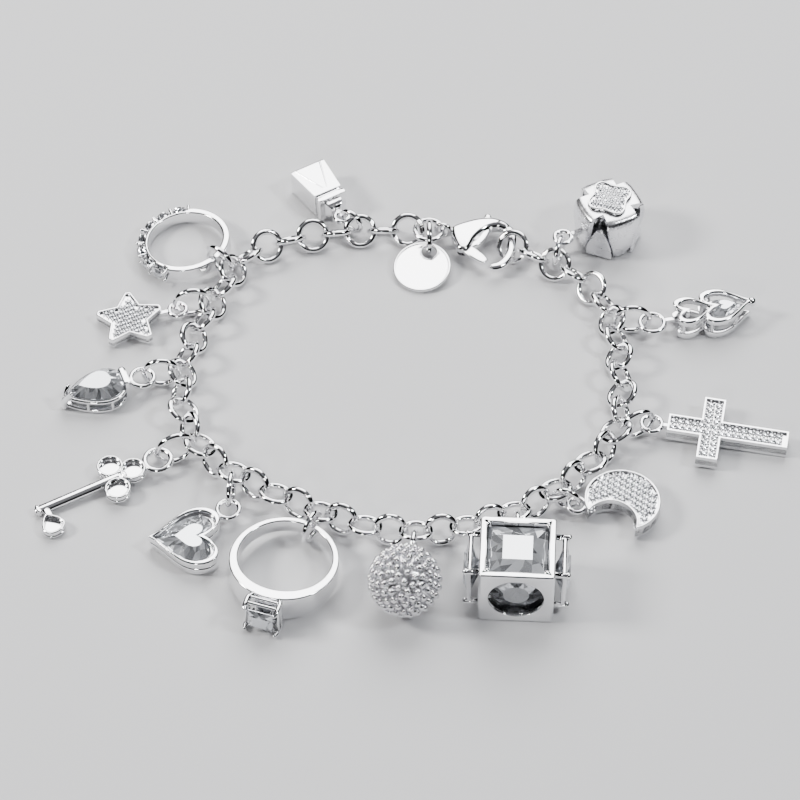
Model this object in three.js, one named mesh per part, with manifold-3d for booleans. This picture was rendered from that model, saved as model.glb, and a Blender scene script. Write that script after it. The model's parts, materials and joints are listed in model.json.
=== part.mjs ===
// A silver charm bracelet laid out on a table: a rolo chain with a lobster clasp, a bare round tag
// and thirteen charms, each on its own jump ring. Millimetres, +Z up, the table is the plane z = 0.
import * as THREE from 'three';
import { mergeVertices } from 'three/addons/utils/BufferGeometryUtils.js';
import Module from 'manifold-3d';

// Chain links: centre-line radius and wire radius of one round link.
const LINK_RADIUS = 2.08;
const LINK_WIRE = 0.44;
// Links pull tight against each other, and touching wires sink this far into one another.
const LINK_BITE = 0.12;
// Where the two halves of the chain meet, their wires stay this far apart.
const MEET_GAP = 0.25;
// Running clearance between loose rings, and between the lowest metal and the table.
const PLAY = 0.18;
const TABLE_GAP = 0.05;
// The share of the links that belongs to the first half of the chain.
const FIRST_HALF = 0.5;
// How far the links roll over on the near side of the loop, in degrees.
const NEAR_ROLL = 24;

// Jump rings: centre-line radius and wire radius.
const JUMP_RADIUS = 2.0;
const JUMP_WIRE = 0.4;
const TAG_RING_RADIUS = 2.25;
const TAG_RING_WIRE = 0.42;
const LOOP_WIRE = 0.38;

// Facets round a ring, and round its wire.
const RING_SIDES = 10;
const WIRE_SIDES = 5;

// Clasp: its eye, the half thickness of its body and hook, its lever and the lever's pin.
const EYE_RADIUS = 1.05;
const EYE_WIRE = 0.4;
const CLASP_HALF = 1.0;
const HOOK_HALF = 0.54;
const CLASP_EDGE = 0.3;
const LEVER_HALF = 0.42;
const LEVER_PLAY = 0.2;
const PIN_RADIUS = 0.42;
const LEVER_SWING = 14;
const CLASP_HEADING = -15;

// Tag.
const TAG_RADIUS = 4.1;
const TAG_THICK = 0.6;
const TAG_HOLE = 1.1;
const TAG_RIM = 0.35;
const TAG_HANG = 30;
const TAG_TILT = 10.6;
const TAG_HEADING = 246;

// Flower bead.
const FLOWER_RADIUS = 5.3;
const FLOWER_HEIGHT = 8.2;
const FLOWER_TOP_HALF = 3.5;
const FLOWER_PETAL = 1.1;

// Two hearts.
const SMALL_HEART = 5.0;
const LARGE_HEART = 6.3;
const HEARTS_STRETCH = 1.18;
const HEARTS_THICK = 3.6;
const HEART_RAIL = 0.95;

// Cross.
const CROSS_LENGTH = 16.6;
const CROSS_SPAN = 10.8;
const CROSS_BAR = 2.95;
const CROSS_THICK = 2.2;
const CROSS_ARM_AT = 0.36;
const PAVE_SINK = 0.25;
const PAVE_RIM = 0.4;

// Moon.
const MOON_RADIUS = 5.15;
const MOON_CUT = 3.4;
const MOON_THICK = 2.6;

// Cube with its square and round stones.
const CUBE_WIDTH = 10.0;
const CUBE_HEIGHT = 9.6;
const CUBE_WINDOW = 3.7;
const CUBE_WALL = 0.9;
const CUBE_SIDE_STONE = 6.0;
const CUBE_SIDE_RISE = 2.2;

// Ball.
const BALL_RADIUS = 5.05;

// Solitaire ring.
const SOLITAIRE_RADIUS = 7.1;
const SOLITAIRE_BACK = 0.8;
const SOLITAIRE_FRONT = 1.6;
const SOLITAIRE_BACK_WIDTH = 2.2;
const SOLITAIRE_FRONT_WIDTH = 4.4;
const SOLITAIRE_HEAD = 4.4;
const SOLITAIRE_REACH = 10.7;

// Heart with its step-cut stone.
const HEART_LENGTH = 9.6;
const HEART_THICK = 2.7;
const HEART_BEZEL = 0.8;
const HEART_TURN = -42;

// Key.
const KEY_LENGTH = 20.5;
const KEY_THICK = 1.3;
const KEY_SHAFT = 1.25;
const KEY_LOBE = 1.55;
const KEY_LOOP = 1.8;
const KEY_LOOP_WIRE = 0.46;
const KEY_WELL = 0.35;

// Pear drop.
const PEAR_LENGTH = 9.2;
const PEAR_WIDTH = 6.5;
const PEAR_HEIGHT = 3.4;
const PEAR_RAIL = 0.8;

// Star.
const STAR_TIP = 4.7;
const STAR_NOTCH = 2.75;
const STAR_THICK = 1.7;
const STAR_TURN = 9;

// Half eternity ring.
const ETERNITY_RADIUS = 6.4;
const ETERNITY_WALL = 1.0;
const ETERNITY_WIDTH = 2.0;
const ETERNITY_STONES = 7;
const ETERNITY_STONE = 0.95;
const ETERNITY_ARC = 135;

// Square tapered bar.
const BAR_LENGTH = 8.7;
const BAR_WIDE = 5.6;
const BAR_NARROW = 4.4;
const BAR_HEIGHT = 4.0;
const BAR_CAP = 1.2;

// The route of the chain, clockwise from the hook of the clasp to its tail ring, seen from above.
// The first point is left to the clasp, which holds the first link.
const ROUTE = [
  { x: 20.4, y: 24.6 },
  { x: 24.3, y: 22.2 },
  { x: 28.2, y: 17.6 },
  { x: 30.2, y: 11.0 },
  { x: 30.6, y: 4.0 },
  { x: 30.6, y: -2.6 },
  { x: 29.3, y: -8.2 },
  { x: 26.0, y: -13.0 },
  { x: 21.6, y: -17.4 },
  { x: 16.9, y: -20.9 },
  { x: 10.2, y: -23.7 },
  { x: 3.2, y: -24.9 },
  { x: -3.1, y: -24.4 },
  { x: -9.0, y: -22.4 },
  { x: -14.7, y: -19.7 },
  { x: -20.3, y: -16.4 },
  { x: -25.9, y: -12.0 },
  { x: -29.1, y: -6.3 },
  { x: -30.3, y: 0.4 },
  { x: -29.7, y: 6.6 },
  { x: -27.8, y: 13.0 },
  { x: -25.4, y: 18.6 },
  { x: -22.9, y: 24.0 },
  { x: -19.0, y: 27.2 },
  { x: -12.4, y: 29.2 },
  { x: -6.0, y: 30.1 },
  { x: 1.1, y: 30.3 },
];

// Where each charm hangs: its share of the way along the chain, how far its jump ring has slid along
// its link and is turned from square to the chain, the size of that ring as a share of the usual one,
// the charm's heading, the radius of its loop, the height of the loop above the table, and the length
// of the neck between its loop and its body. The two finger rings and the key bring their own loops.
const HANGING = {
  flower: { share: 0.04, slide: -0.3, swing: 12, ring: 1.05, heading: 25, loop: 1.2, height: 3.2, neck: 0.4 },
  hearts: { share: 0.12, slide: 0.75, swing: -12, ring: 1.2, heading: 12, loop: 1.7, height: 2.0, neck: 1.2 },
  cross: { share: 0.24, slide: -1.0, swing: 44, ring: 1.15, heading: -10, loop: 1.4, height: 1.7, neck: 0.4 },
  moon: { share: 0.32, slide: 0, swing: 30, ring: 0.86, heading: 2, loop: 1.2, height: 1.8, neck: 0 },
  cube: { share: 0.36, slide: 0.5, swing: -24, ring: 1.05, heading: -93, loop: 1.2, height: 3.4, neck: 0.1 },
  ball: { share: 0.44, slide: 0.25, swing: -8, ring: 1.0, heading: -99, loop: 1.2, height: 3.2, neck: 0 },
  solitaire: { share: 0.52, slide: 0, swing: -4, ring: 1.05, heading: -131, loop: 0, height: 2.3, neck: 0 },
  heart: { share: 0.6, slide: -1.0, swing: 28, ring: 1.2, heading: -138, loop: 1.5, height: 1.9, neck: 1.0 },
  key: { share: 0.64, slide: 0.5, swing: -12, ring: 1.3, heading: -153, loop: 0, height: 1.7, neck: 0 },
  pear: { share: 0.72, slide: -0.5, swing: 8, ring: 1.2, heading: -160, loop: 1.6, height: 1.9, neck: 0.3 },
  star: { share: 0.8, slide: -0.9, swing: 34, ring: 1.2, heading: -166, loop: 1.2, height: 1.7, neck: 0.7 },
  eternity: { share: 0.84, slide: 0.25, swing: -12, ring: 1.1, heading: 152, loop: 0, height: 2.4, neck: 0 },
  bar: { share: 0.96, slide: -1.0, swing: 48, ring: 0.85, heading: 121, loop: 1.0, height: 2.4, neck: 0 },
};

// Finishes.
const silver = { color: 0xd9dade, roughness: 0.16, metalness: 1.0 };
const paved = { color: 0xe6e7ea, roughness: 0.42, metalness: 0.9 };
const crystal = { color: 0xf1f4f7, roughness: 0.05, metalness: 0.1 };

const wasm = await Module();
wasm.setup();

const radians = THREE.MathUtils.degToRad;
const UP = new THREE.Vector3(0, 0, 1);

// Solids

// A closed geometry as a solid with its faces pointing out.
function solidOf(geometry) {
  const bare = new THREE.BufferGeometry();
  bare.setAttribute('position', geometry.getAttribute('position').clone());
  if (geometry.index) bare.setIndex(geometry.index.clone());
  const merged = mergeVertices(bare, 1e-4);
  const position = merged.getAttribute('position').array;
  const kept = [];
  let volume = 0;
  const corner = [new THREE.Vector3(), new THREE.Vector3(), new THREE.Vector3()];
  for (let i = 0; i < merged.index.count; i += 3) {
    const [a, b, c] = [0, 1, 2].map((k) => merged.index.getX(i + k));
    if (a === b || b === c || c === a) continue;
    kept.push(a, b, c);
    [a, b, c].forEach((v, k) => corner[k].fromArray(position, 3 * v));
    volume += corner[0].dot(corner[1].clone().cross(corner[2]));
  }
  if (volume < 0) {
    for (let i = 0; i < kept.length; i += 3) {
      [kept[i], kept[i + 1]] = [kept[i + 1], kept[i]];
    }
  }
  const mesh = new wasm.Mesh({
    numProp: 3,
    vertProperties: new Float32Array(position),
    triVerts: new Uint32Array(kept),
  });
  return new wasm.Manifold(mesh);
}

function geometryOf(solid) {
  const mesh = solid.getMesh();
  const geometry = new THREE.BufferGeometry();
  geometry.setAttribute('position', new THREE.BufferAttribute(new Float32Array(mesh.vertProperties), 3));
  geometry.setIndex(new THREE.BufferAttribute(new Uint32Array(mesh.triVerts), 1));
  geometry.computeVertexNormals();
  return geometry;
}

// Solids soldered into one, and a solid with others cut away.
function join(geometries) {
  return geometries.map(solidOf).reduce((whole, solid) => whole.add(solid));
}

function cut(solid, geometries) {
  return geometries.map(solidOf).reduce((rest, tool) => rest.subtract(tool), solid);
}

// Shapes

// A ring of wire lying flat, with one edge of its wire on the inside.
function ring(radius, wire, sides = RING_SIDES, wireSides = WIRE_SIDES) {
  const section = [];
  for (let k = 0; k <= wireSides; k += 1) {
    const turn = Math.PI + (2 * Math.PI * (k % wireSides)) / wireSides;
    section.push(new THREE.Vector2(radius + wire * Math.cos(turn), wire * Math.sin(turn)));
  }
  return new THREE.LatheGeometry(section, sides, Math.PI / 2).rotateX(Math.PI / 2);
}

// A plate of a given outline between two heights, with its edges bevelled.
function plate(points, low, high, edge = 0, holes = []) {
  const shape = new THREE.Shape(points);
  holes.forEach((hole) => shape.holes.push(new THREE.Path(hole)));
  const geometry = new THREE.ExtrudeGeometry(shape, {
    depth: high - low - 2 * edge,
    bevelEnabled: edge > 0,
    bevelThickness: edge,
    bevelSize: edge,
    bevelOffset: -edge,
    bevelSegments: 1,
    curveSegments: 1,
  });
  return geometry.translate(0, 0, low + edge);
}

function circle(x, y, radius, sides) {
  const points = [];
  for (let k = 0; k < sides; k += 1) {
    const turn = (2 * Math.PI * (k + 0.5)) / sides;
    points.push(new THREE.Vector2(x + radius * Math.cos(turn), y + radius * Math.sin(turn)));
  }
  return points;
}

// Points along an arc, both ends included.
function arc(centre, radius, from, to, steps) {
  return Array.from({ length: steps + 1 }, (_, k) => {
    const turn = from + ((to - from) * k) / steps;
    return new THREE.Vector2(centre.x + radius * Math.cos(turn), centre.y + radius * Math.sin(turn));
  });
}

function rectangle(x, y, width, height) {
  const [w, h] = [width / 2, height / 2];
  return [[-w, -h], [w, -h], [w, h], [-w, h]].map(([a, b]) => new THREE.Vector2(x + a, y + b));
}

function disc(x, y, radius, low, high, sides, edge = 0) {
  return plate(circle(x, y, radius, sides), low, high, edge);
}

function box(x, y, z, width, depth, height) {
  return new THREE.BoxGeometry(width, depth, height).translate(x, y, z);
}

function bead(x, y, z, radius, sides = 6) {
  return new THREE.SphereGeometry(radius, sides, Math.max(3, sides / 2)).rotateX(Math.PI / 2)
    .translate(x, y, z);
}

// A heart of a given length, from its lobes at x = 0 to its tip at x = length. The cleft between the
// lobes is a fixed share of the way along.
const HEART_CLEFT = 6.9 / 28.9;
function heart(length, width, steps) {
  const points = [];
  for (let k = 0; k < steps; k += 1) {
    const t = (2 * Math.PI * (k + 0.5)) / steps;
    const across = Math.sin(t) ** 3;
    const along = 13 * Math.cos(t) - 5 * Math.cos(2 * t) - 2 * Math.cos(3 * t) - Math.cos(4 * t);
    points.push(new THREE.Vector2((length * (11.9 - along)) / 28.9, (width * across) / 2));
  }
  return points.reverse();
}

// A pear of a given length, round at x = 0 and pointed at x = length.
function pear(length, width, steps) {
  const points = [];
  for (let k = 0; k < steps; k += 1) {
    const t = (2 * Math.PI * k) / steps;
    const along = (1 + Math.cos(t)) / 2;
    const taper = Math.sin(t) * Math.sin(t / 2) ** 0.9;
    points.push(new THREE.Vector2(length * along, width * 0.62 * taper));
  }
  return points;
}

// An outline grown or shrunk about a centre by a margin at its widest.
function inset(points, margin) {
  const bounds = new THREE.Box2().setFromPoints(points);
  const centre = bounds.getCenter(new THREE.Vector2());
  const size = bounds.getSize(new THREE.Vector2());
  const share = new THREE.Vector2((size.x - 2 * margin) / size.x, (size.y - 2 * margin) / size.y);
  return points.map((p) => p.clone().sub(centre).multiply(share).add(centre));
}

// A cut stone on an outline: a flat table, a crown down to the girdle, and a pointed pavilion.
function stone(points, low, girdle, high, tableShare = 0.6) {
  const bounds = new THREE.Box2().setFromPoints(points);
  const centre = bounds.getCenter(new THREE.Vector2());
  const positions = [];
  const at = (share, z, k) => {
    const p = points[k % points.length].clone().sub(centre).multiplyScalar(share).add(centre);
    return [p.x, p.y, z];
  };
  points.forEach((_, k) => {
    const edge = [at(1, girdle, k), at(1, girdle, k + 1)];
    const table = [at(tableShare, high, k), at(tableShare, high, k + 1)];
    positions.push(centre.x, centre.y, low, ...edge[1], ...edge[0]);
    positions.push(...edge[0], ...edge[1], ...table[1], ...edge[0], ...table[1], ...table[0]);
    positions.push(centre.x, centre.y, high, ...table[0], ...table[1]);
  });
  const geometry = new THREE.BufferGeometry();
  geometry.setAttribute('position', new THREE.Float32BufferAttribute(positions, 3));
  return geometry;
}

// A strip along a smooth line through rows of x, y and half width.
function strip(rows, extra = 0, steps = 5) {
  const line = new THREE.CatmullRomCurve3(rows.map((row) => new THREE.Vector3(row.x, row.y, row.half)));
  const [left, right] = [[], []];
  for (let k = 0; k <= steps; k += 1) {
    const here = line.getPoint(k / steps);
    const way = line.getTangent(k / steps).setZ(0).normalize();
    const half = here.z + extra;
    const end = k === 0 ? -extra : extra * Math.floor(k / steps);
    const [x, y] = [here.x + end * way.x, here.y + end * way.y];
    left.push(new THREE.Vector2(x - half * way.y, y + half * way.x));
    right.push(new THREE.Vector2(x + half * way.y, y - half * way.x));
  }
  return left.concat(right.reverse());
}

// Chain

// The frame of a ring whose plane holds a direction and leans up from a second one by an angle.
function ringFrame(centre, along, outward, roll) {
  const side = outward.clone().multiplyScalar(Math.cos(roll)).addScaledVector(UP, Math.sin(roll));
  const normal = along.clone().cross(side);
  return new THREE.Matrix4().makeBasis(along, side, normal).setPosition(centre);
}

function headingOf(degrees) {
  return new THREE.Vector3(Math.cos(radians(degrees)), Math.sin(radians(degrees)), 0);
}

// The links lean to either side by half a right angle, and further on the near side of the loop.
function leanAt(y) {
  const share = THREE.MathUtils.smoothstep(-y, -12, 16);
  return NEAR_ROLL * share;
}

function restHeight(y) {
  return LINK_RADIUS * Math.sin(radians(45 + leanAt(y))) + LINK_WIRE + TABLE_GAP;
}

// The clasp is placed from the last link: link, ring, eye.
const lastPoint = new THREE.Vector3(ROUTE.at(-1).x, ROUTE.at(-1).y, restHeight(ROUTE.at(-1).y));
const tailWay = headingOf(0);
const touching = (wireA, wireB) => wireA + wireB + PLAY;
const lastWire = lastPoint.clone().addScaledVector(tailWay, LINK_RADIUS);
const claspRingAt = lastWire.clone()
  .addScaledVector(tailWay, JUMP_RADIUS - touching(LINK_WIRE, JUMP_WIRE));
const eyeAt = claspRingAt.clone()
  .addScaledVector(tailWay, JUMP_RADIUS - touching(JUMP_WIRE, EYE_WIRE) + EYE_RADIUS);
const tagRingX = (lastWire.x + LINK_WIRE + eyeAt.x - EYE_RADIUS - EYE_WIRE) / 2;

// Where the hook's inside bears on the first link, in the clasp's own frame.
const HOOK_BEARING = 9.05;
const claspFrame = new THREE.Matrix4().makeRotationZ(radians(CLASP_HEADING)).setPosition(eyeAt);
const firstWire = new THREE.Vector3(HOOK_BEARING - PLAY - LINK_WIRE, 0, 0).applyMatrix4(claspFrame);
const firstWay = new THREE.Vector3(ROUTE[0].x, ROUTE[0].y, 0).sub(firstWire).setZ(0).normalize();
const firstPoint = firstWire.clone().addScaledVector(firstWay, LINK_RADIUS);

// The links, as frames at even steps along the route, with a shorter step where the halves meet.
function chainLinks() {
  const points = [firstPoint.clone().setZ(0), ...ROUTE.map((p) => new THREE.Vector3(p.x, p.y, 0))];
  const route = new THREE.CatmullRomCurve3(points, false, 'centripetal');
  route.arcLengthDivisions = 1200;
  const length = route.getLength();
  const count = Math.round(length / (2 * (LINK_RADIUS - LINK_WIRE) + LINK_BITE)) + 1;
  const meetStep = 2 * (LINK_RADIUS - LINK_WIRE) - MEET_GAP;
  const step = (length - meetStep) / (count - 2);
  const half = Math.round(count * FIRST_HALF);
  const links = [];
  for (let k = 0; k < count; k += 1) {
    const run = k < half ? k * step : length - (count - 1 - k) * step;
    const centre = route.getPointAt(run / length);
    const along = route.getTangentAt(run / length);
    const outward = new THREE.Vector3(-along.y, along.x, 0);
    const lean = leanAt(centre.y);
    const roll = radians(k % 2 === 0 ? 45 - lean : -45 - lean);
    centre.z = restHeight(centre.y);
    links.push({ centre, along, outward, roll });
  }
  return { links, half };
}

const chain = chainLinks();

function chainPart(links) {
  const rings = links.map((link) => ring(LINK_RADIUS, LINK_WIRE)
    .applyMatrix4(ringFrame(link.centre, link.along, link.outward, link.roll)));
  return join(rings);
}

// Pieces

const bracelet = new THREE.Group();

function piece(parent, name, solid, finish) {
  const mesh = new THREE.Mesh(geometryOf(solid), new THREE.MeshStandardMaterial(finish));
  mesh.name = name;
  parent.add(mesh);
  return mesh;
}

function ringPiece(name, radius, wire, frame) {
  const group = new THREE.Group();
  group.applyMatrix4(frame);
  bracelet.add(group);
  piece(group, name, solidOf(ring(radius, wire)), silver);
}

piece(bracelet, 'chain_a', chainPart(chain.links.slice(0, chain.half)), silver);
piece(bracelet, 'chain_b', chainPart(chain.links.slice(chain.half)), silver);

// Clasp and tag

// The clasp's blade and hook from above, with the eye at the origin and the hook's end at the right.
const CLASP_OUTLINE = [
  { x: 1.3, y: 0.7 }, { x: 2.7, y: 2.05 }, { x: 4.6, y: 3.25 }, { x: 6.3, y: 3.85 },
  { x: 8.4, y: 3.65 }, { x: 10.2, y: 2.2 }, { x: 11.0, y: -0.2 }, { x: 11.1, y: -2.8 },
  { x: 10.1, y: -5.0 }, { x: 8.7, y: -5.75 }, { x: 7.95, y: -5.5 }, { x: 8.15, y: -4.75 },
  { x: 8.9, y: -4.15 }, { x: 9.55, y: -3.0 }, { x: 9.75, y: -1.6 }, { x: 9.5, y: 0.0 },
  { x: 8.8, y: 1.65 }, { x: 7.3, y: 2.2 }, { x: 5.9, y: 1.0 }, { x: 5.0, y: -0.9 },
  { x: 4.75, y: -2.6 }, { x: 4.3, y: -3.75 }, { x: 3.0, y: -3.6 }, { x: 2.0, y: -2.3 },
  { x: 1.3, y: -0.8 },
];
const CLASP_PIN = { x: 3.45, y: -2.45 };
const GATE = [
  { x: 3.6, y: -2.6, half: 0.95 },
  { x: 5.2, y: -3.35, half: 0.85 },
  { x: 6.6, y: -4.1, half: 0.75 },
  { x: 7.45, y: -4.65, half: 0.5 },
];
const ARM = [
  { x: 4.6, y: -2.6, half: 0.6 },
  { x: 5.6, y: -1.1, half: 0.5 },
  { x: 6.1, y: 0.8, half: 0.5 },
  { x: 5.9, y: 2.6, half: 0.55 },
  { x: 5.5, y: 4.6, half: 0.6 },
];

function smoothOutline(points, steps) {
  const line = new THREE.CatmullRomCurve3(points.map((p) => new THREE.Vector3(p.x, p.y, 0)), true);
  return line.getPoints(steps).slice(0, -1).map((p) => new THREE.Vector2(p.x, p.y));
}

function leverParts(half, extra) {
  return [
    plate(strip(GATE, extra), -half, half),
    plate(strip(ARM, extra), -half, half),
    disc(CLASP_PIN.x, CLASP_PIN.y, GATE[0].half + extra, -half, half, 10),
  ];
}

function aboutPin(geometry, degrees) {
  return geometry.translate(-CLASP_PIN.x, -CLASP_PIN.y, 0).rotateZ(radians(degrees))
    .translate(CLASP_PIN.x, CLASP_PIN.y, 0);
}

function claspBody() {
  const blade = plate(smoothOutline(CLASP_OUTLINE, 34), -CLASP_HALF, CLASP_HALF, CLASP_EDGE);
  const thin = CLASP_HALF - HOOK_HALF;
  const hookArea = (z) => box(CLASP_OUTLINE[10].x + 2, -1.2, z, 4.8, 10.4, thin);
  const eye = ring(EYE_RADIUS, EYE_WIRE).rotateX(Math.PI / 2);
  const neck = box(1.45, 0, 0, 0.9, 1.1, 1.2);
  let solid = cut(join([blade, neck, eye]), [
    hookArea(CLASP_HALF - thin / 2 + 0.001),
    hookArea(-CLASP_HALF + thin / 2 - 0.001),
  ]);
  [0, LEVER_SWING].forEach((turn) => {
    const room = leverParts(LEVER_HALF + LEVER_PLAY, LEVER_PLAY).map((part) => aboutPin(part, turn));
    solid = cut(solid, room);
  });
  const pin = disc(CLASP_PIN.x, CLASP_PIN.y, PIN_RADIUS, 0.1 - CLASP_HALF, CLASP_HALF - 0.1, 8);
  return solid.add(solidOf(pin));
}

function claspLever() {
  const bore = disc(CLASP_PIN.x, CLASP_PIN.y, PIN_RADIUS + LEVER_PLAY, -1, 1, 8);
  return cut(join(leverParts(LEVER_HALF, 0)), [bore]);
}

const clasp = new THREE.Group();
clasp.applyMatrix4(claspFrame);
bracelet.add(clasp);
piece(clasp, 'clasp_body', claspBody(), silver);
piece(clasp, 'clasp_lever', claspLever(), silver);

const flat = headingOf(90);
ringPiece('clasp_ring', JUMP_RADIUS, JUMP_WIRE, ringFrame(claspRingAt, tailWay, flat, 0));

// The tag's ring stands across the clasp's ring and hangs over its front wire.
const tagRingHeight = TAG_RING_RADIUS + TAG_RING_WIRE + TABLE_GAP;
const tagRingRise = tagRingHeight - claspRingAt.z;
const tagRingAt = new THREE.Vector3(
  tagRingX,
  claspRingAt.y - Math.sqrt(TAG_RING_RADIUS ** 2 - tagRingRise ** 2),
  tagRingHeight,
);
ringPiece('tag_ring', TAG_RING_RADIUS, TAG_RING_WIRE, ringFrame(tagRingAt, flat, UP.clone(), 0));

function tagPiece() {
  const [near, low] = [Math.cos(radians(TAG_HANG)), Math.sin(radians(TAG_HANG))];
  const holeAt = tagRingAt.clone().addScaledVector(flat, -near * TAG_RING_RADIUS)
    .addScaledVector(UP, -low * TAG_RING_RADIUS);
  const reach = TAG_RADIUS - TAG_RIM - TAG_HOLE;
  const round = disc(reach, 0, TAG_RADIUS, -TAG_THICK / 2, TAG_THICK / 2, 24);
  const hole = disc(0, 0, TAG_HOLE, -TAG_THICK, TAG_THICK, 10);
  const group = new THREE.Group();
  group.position.copy(holeAt);
  group.rotation.set(0, radians(TAG_TILT), radians(TAG_HEADING), 'ZYX');
  bracelet.add(group);
  return piece(group, 'tag', cut(solidOf(round), [hole]), silver);
}
tagPiece();

// Charms: each is drawn with the centre of its loop at the origin and its body towards +x.

// A loop, its neck and a solid tongue that reaches into the body.
function loop(row, tongue = 0.5) {
  const start = row.loop + LOOP_WIRE + row.neck;
  const length = start + tongue - row.loop;
  const arm = box(row.loop + length / 2, 0, 0, length, 2 * LOOP_WIRE, 1.8 * LOOP_WIRE);
  return { start, parts: [ring(row.loop, LOOP_WIRE), arm] };
}

// Two flat rails on an outline, with posts between them.
function gallery(points, rail, half, posts) {
  const thick = 0.3 * 2 * half;
  const hole = inset(points, rail);
  const middle = inset(points, rail / 2);
  const parts = [
    plate(points, half - thick, half, 0, [hole]),
    plate(points, -half, thick - half, 0, [hole]),
  ];
  for (let k = 0; k < posts; k += 1) {
    const p = middle[Math.floor(((k + 0.5) * middle.length) / posts)];
    parts.push(box(p.x, p.y, 0, rail * 0.6, rail * 0.6, 2 * half - thick));
  }
  return parts;
}

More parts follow.
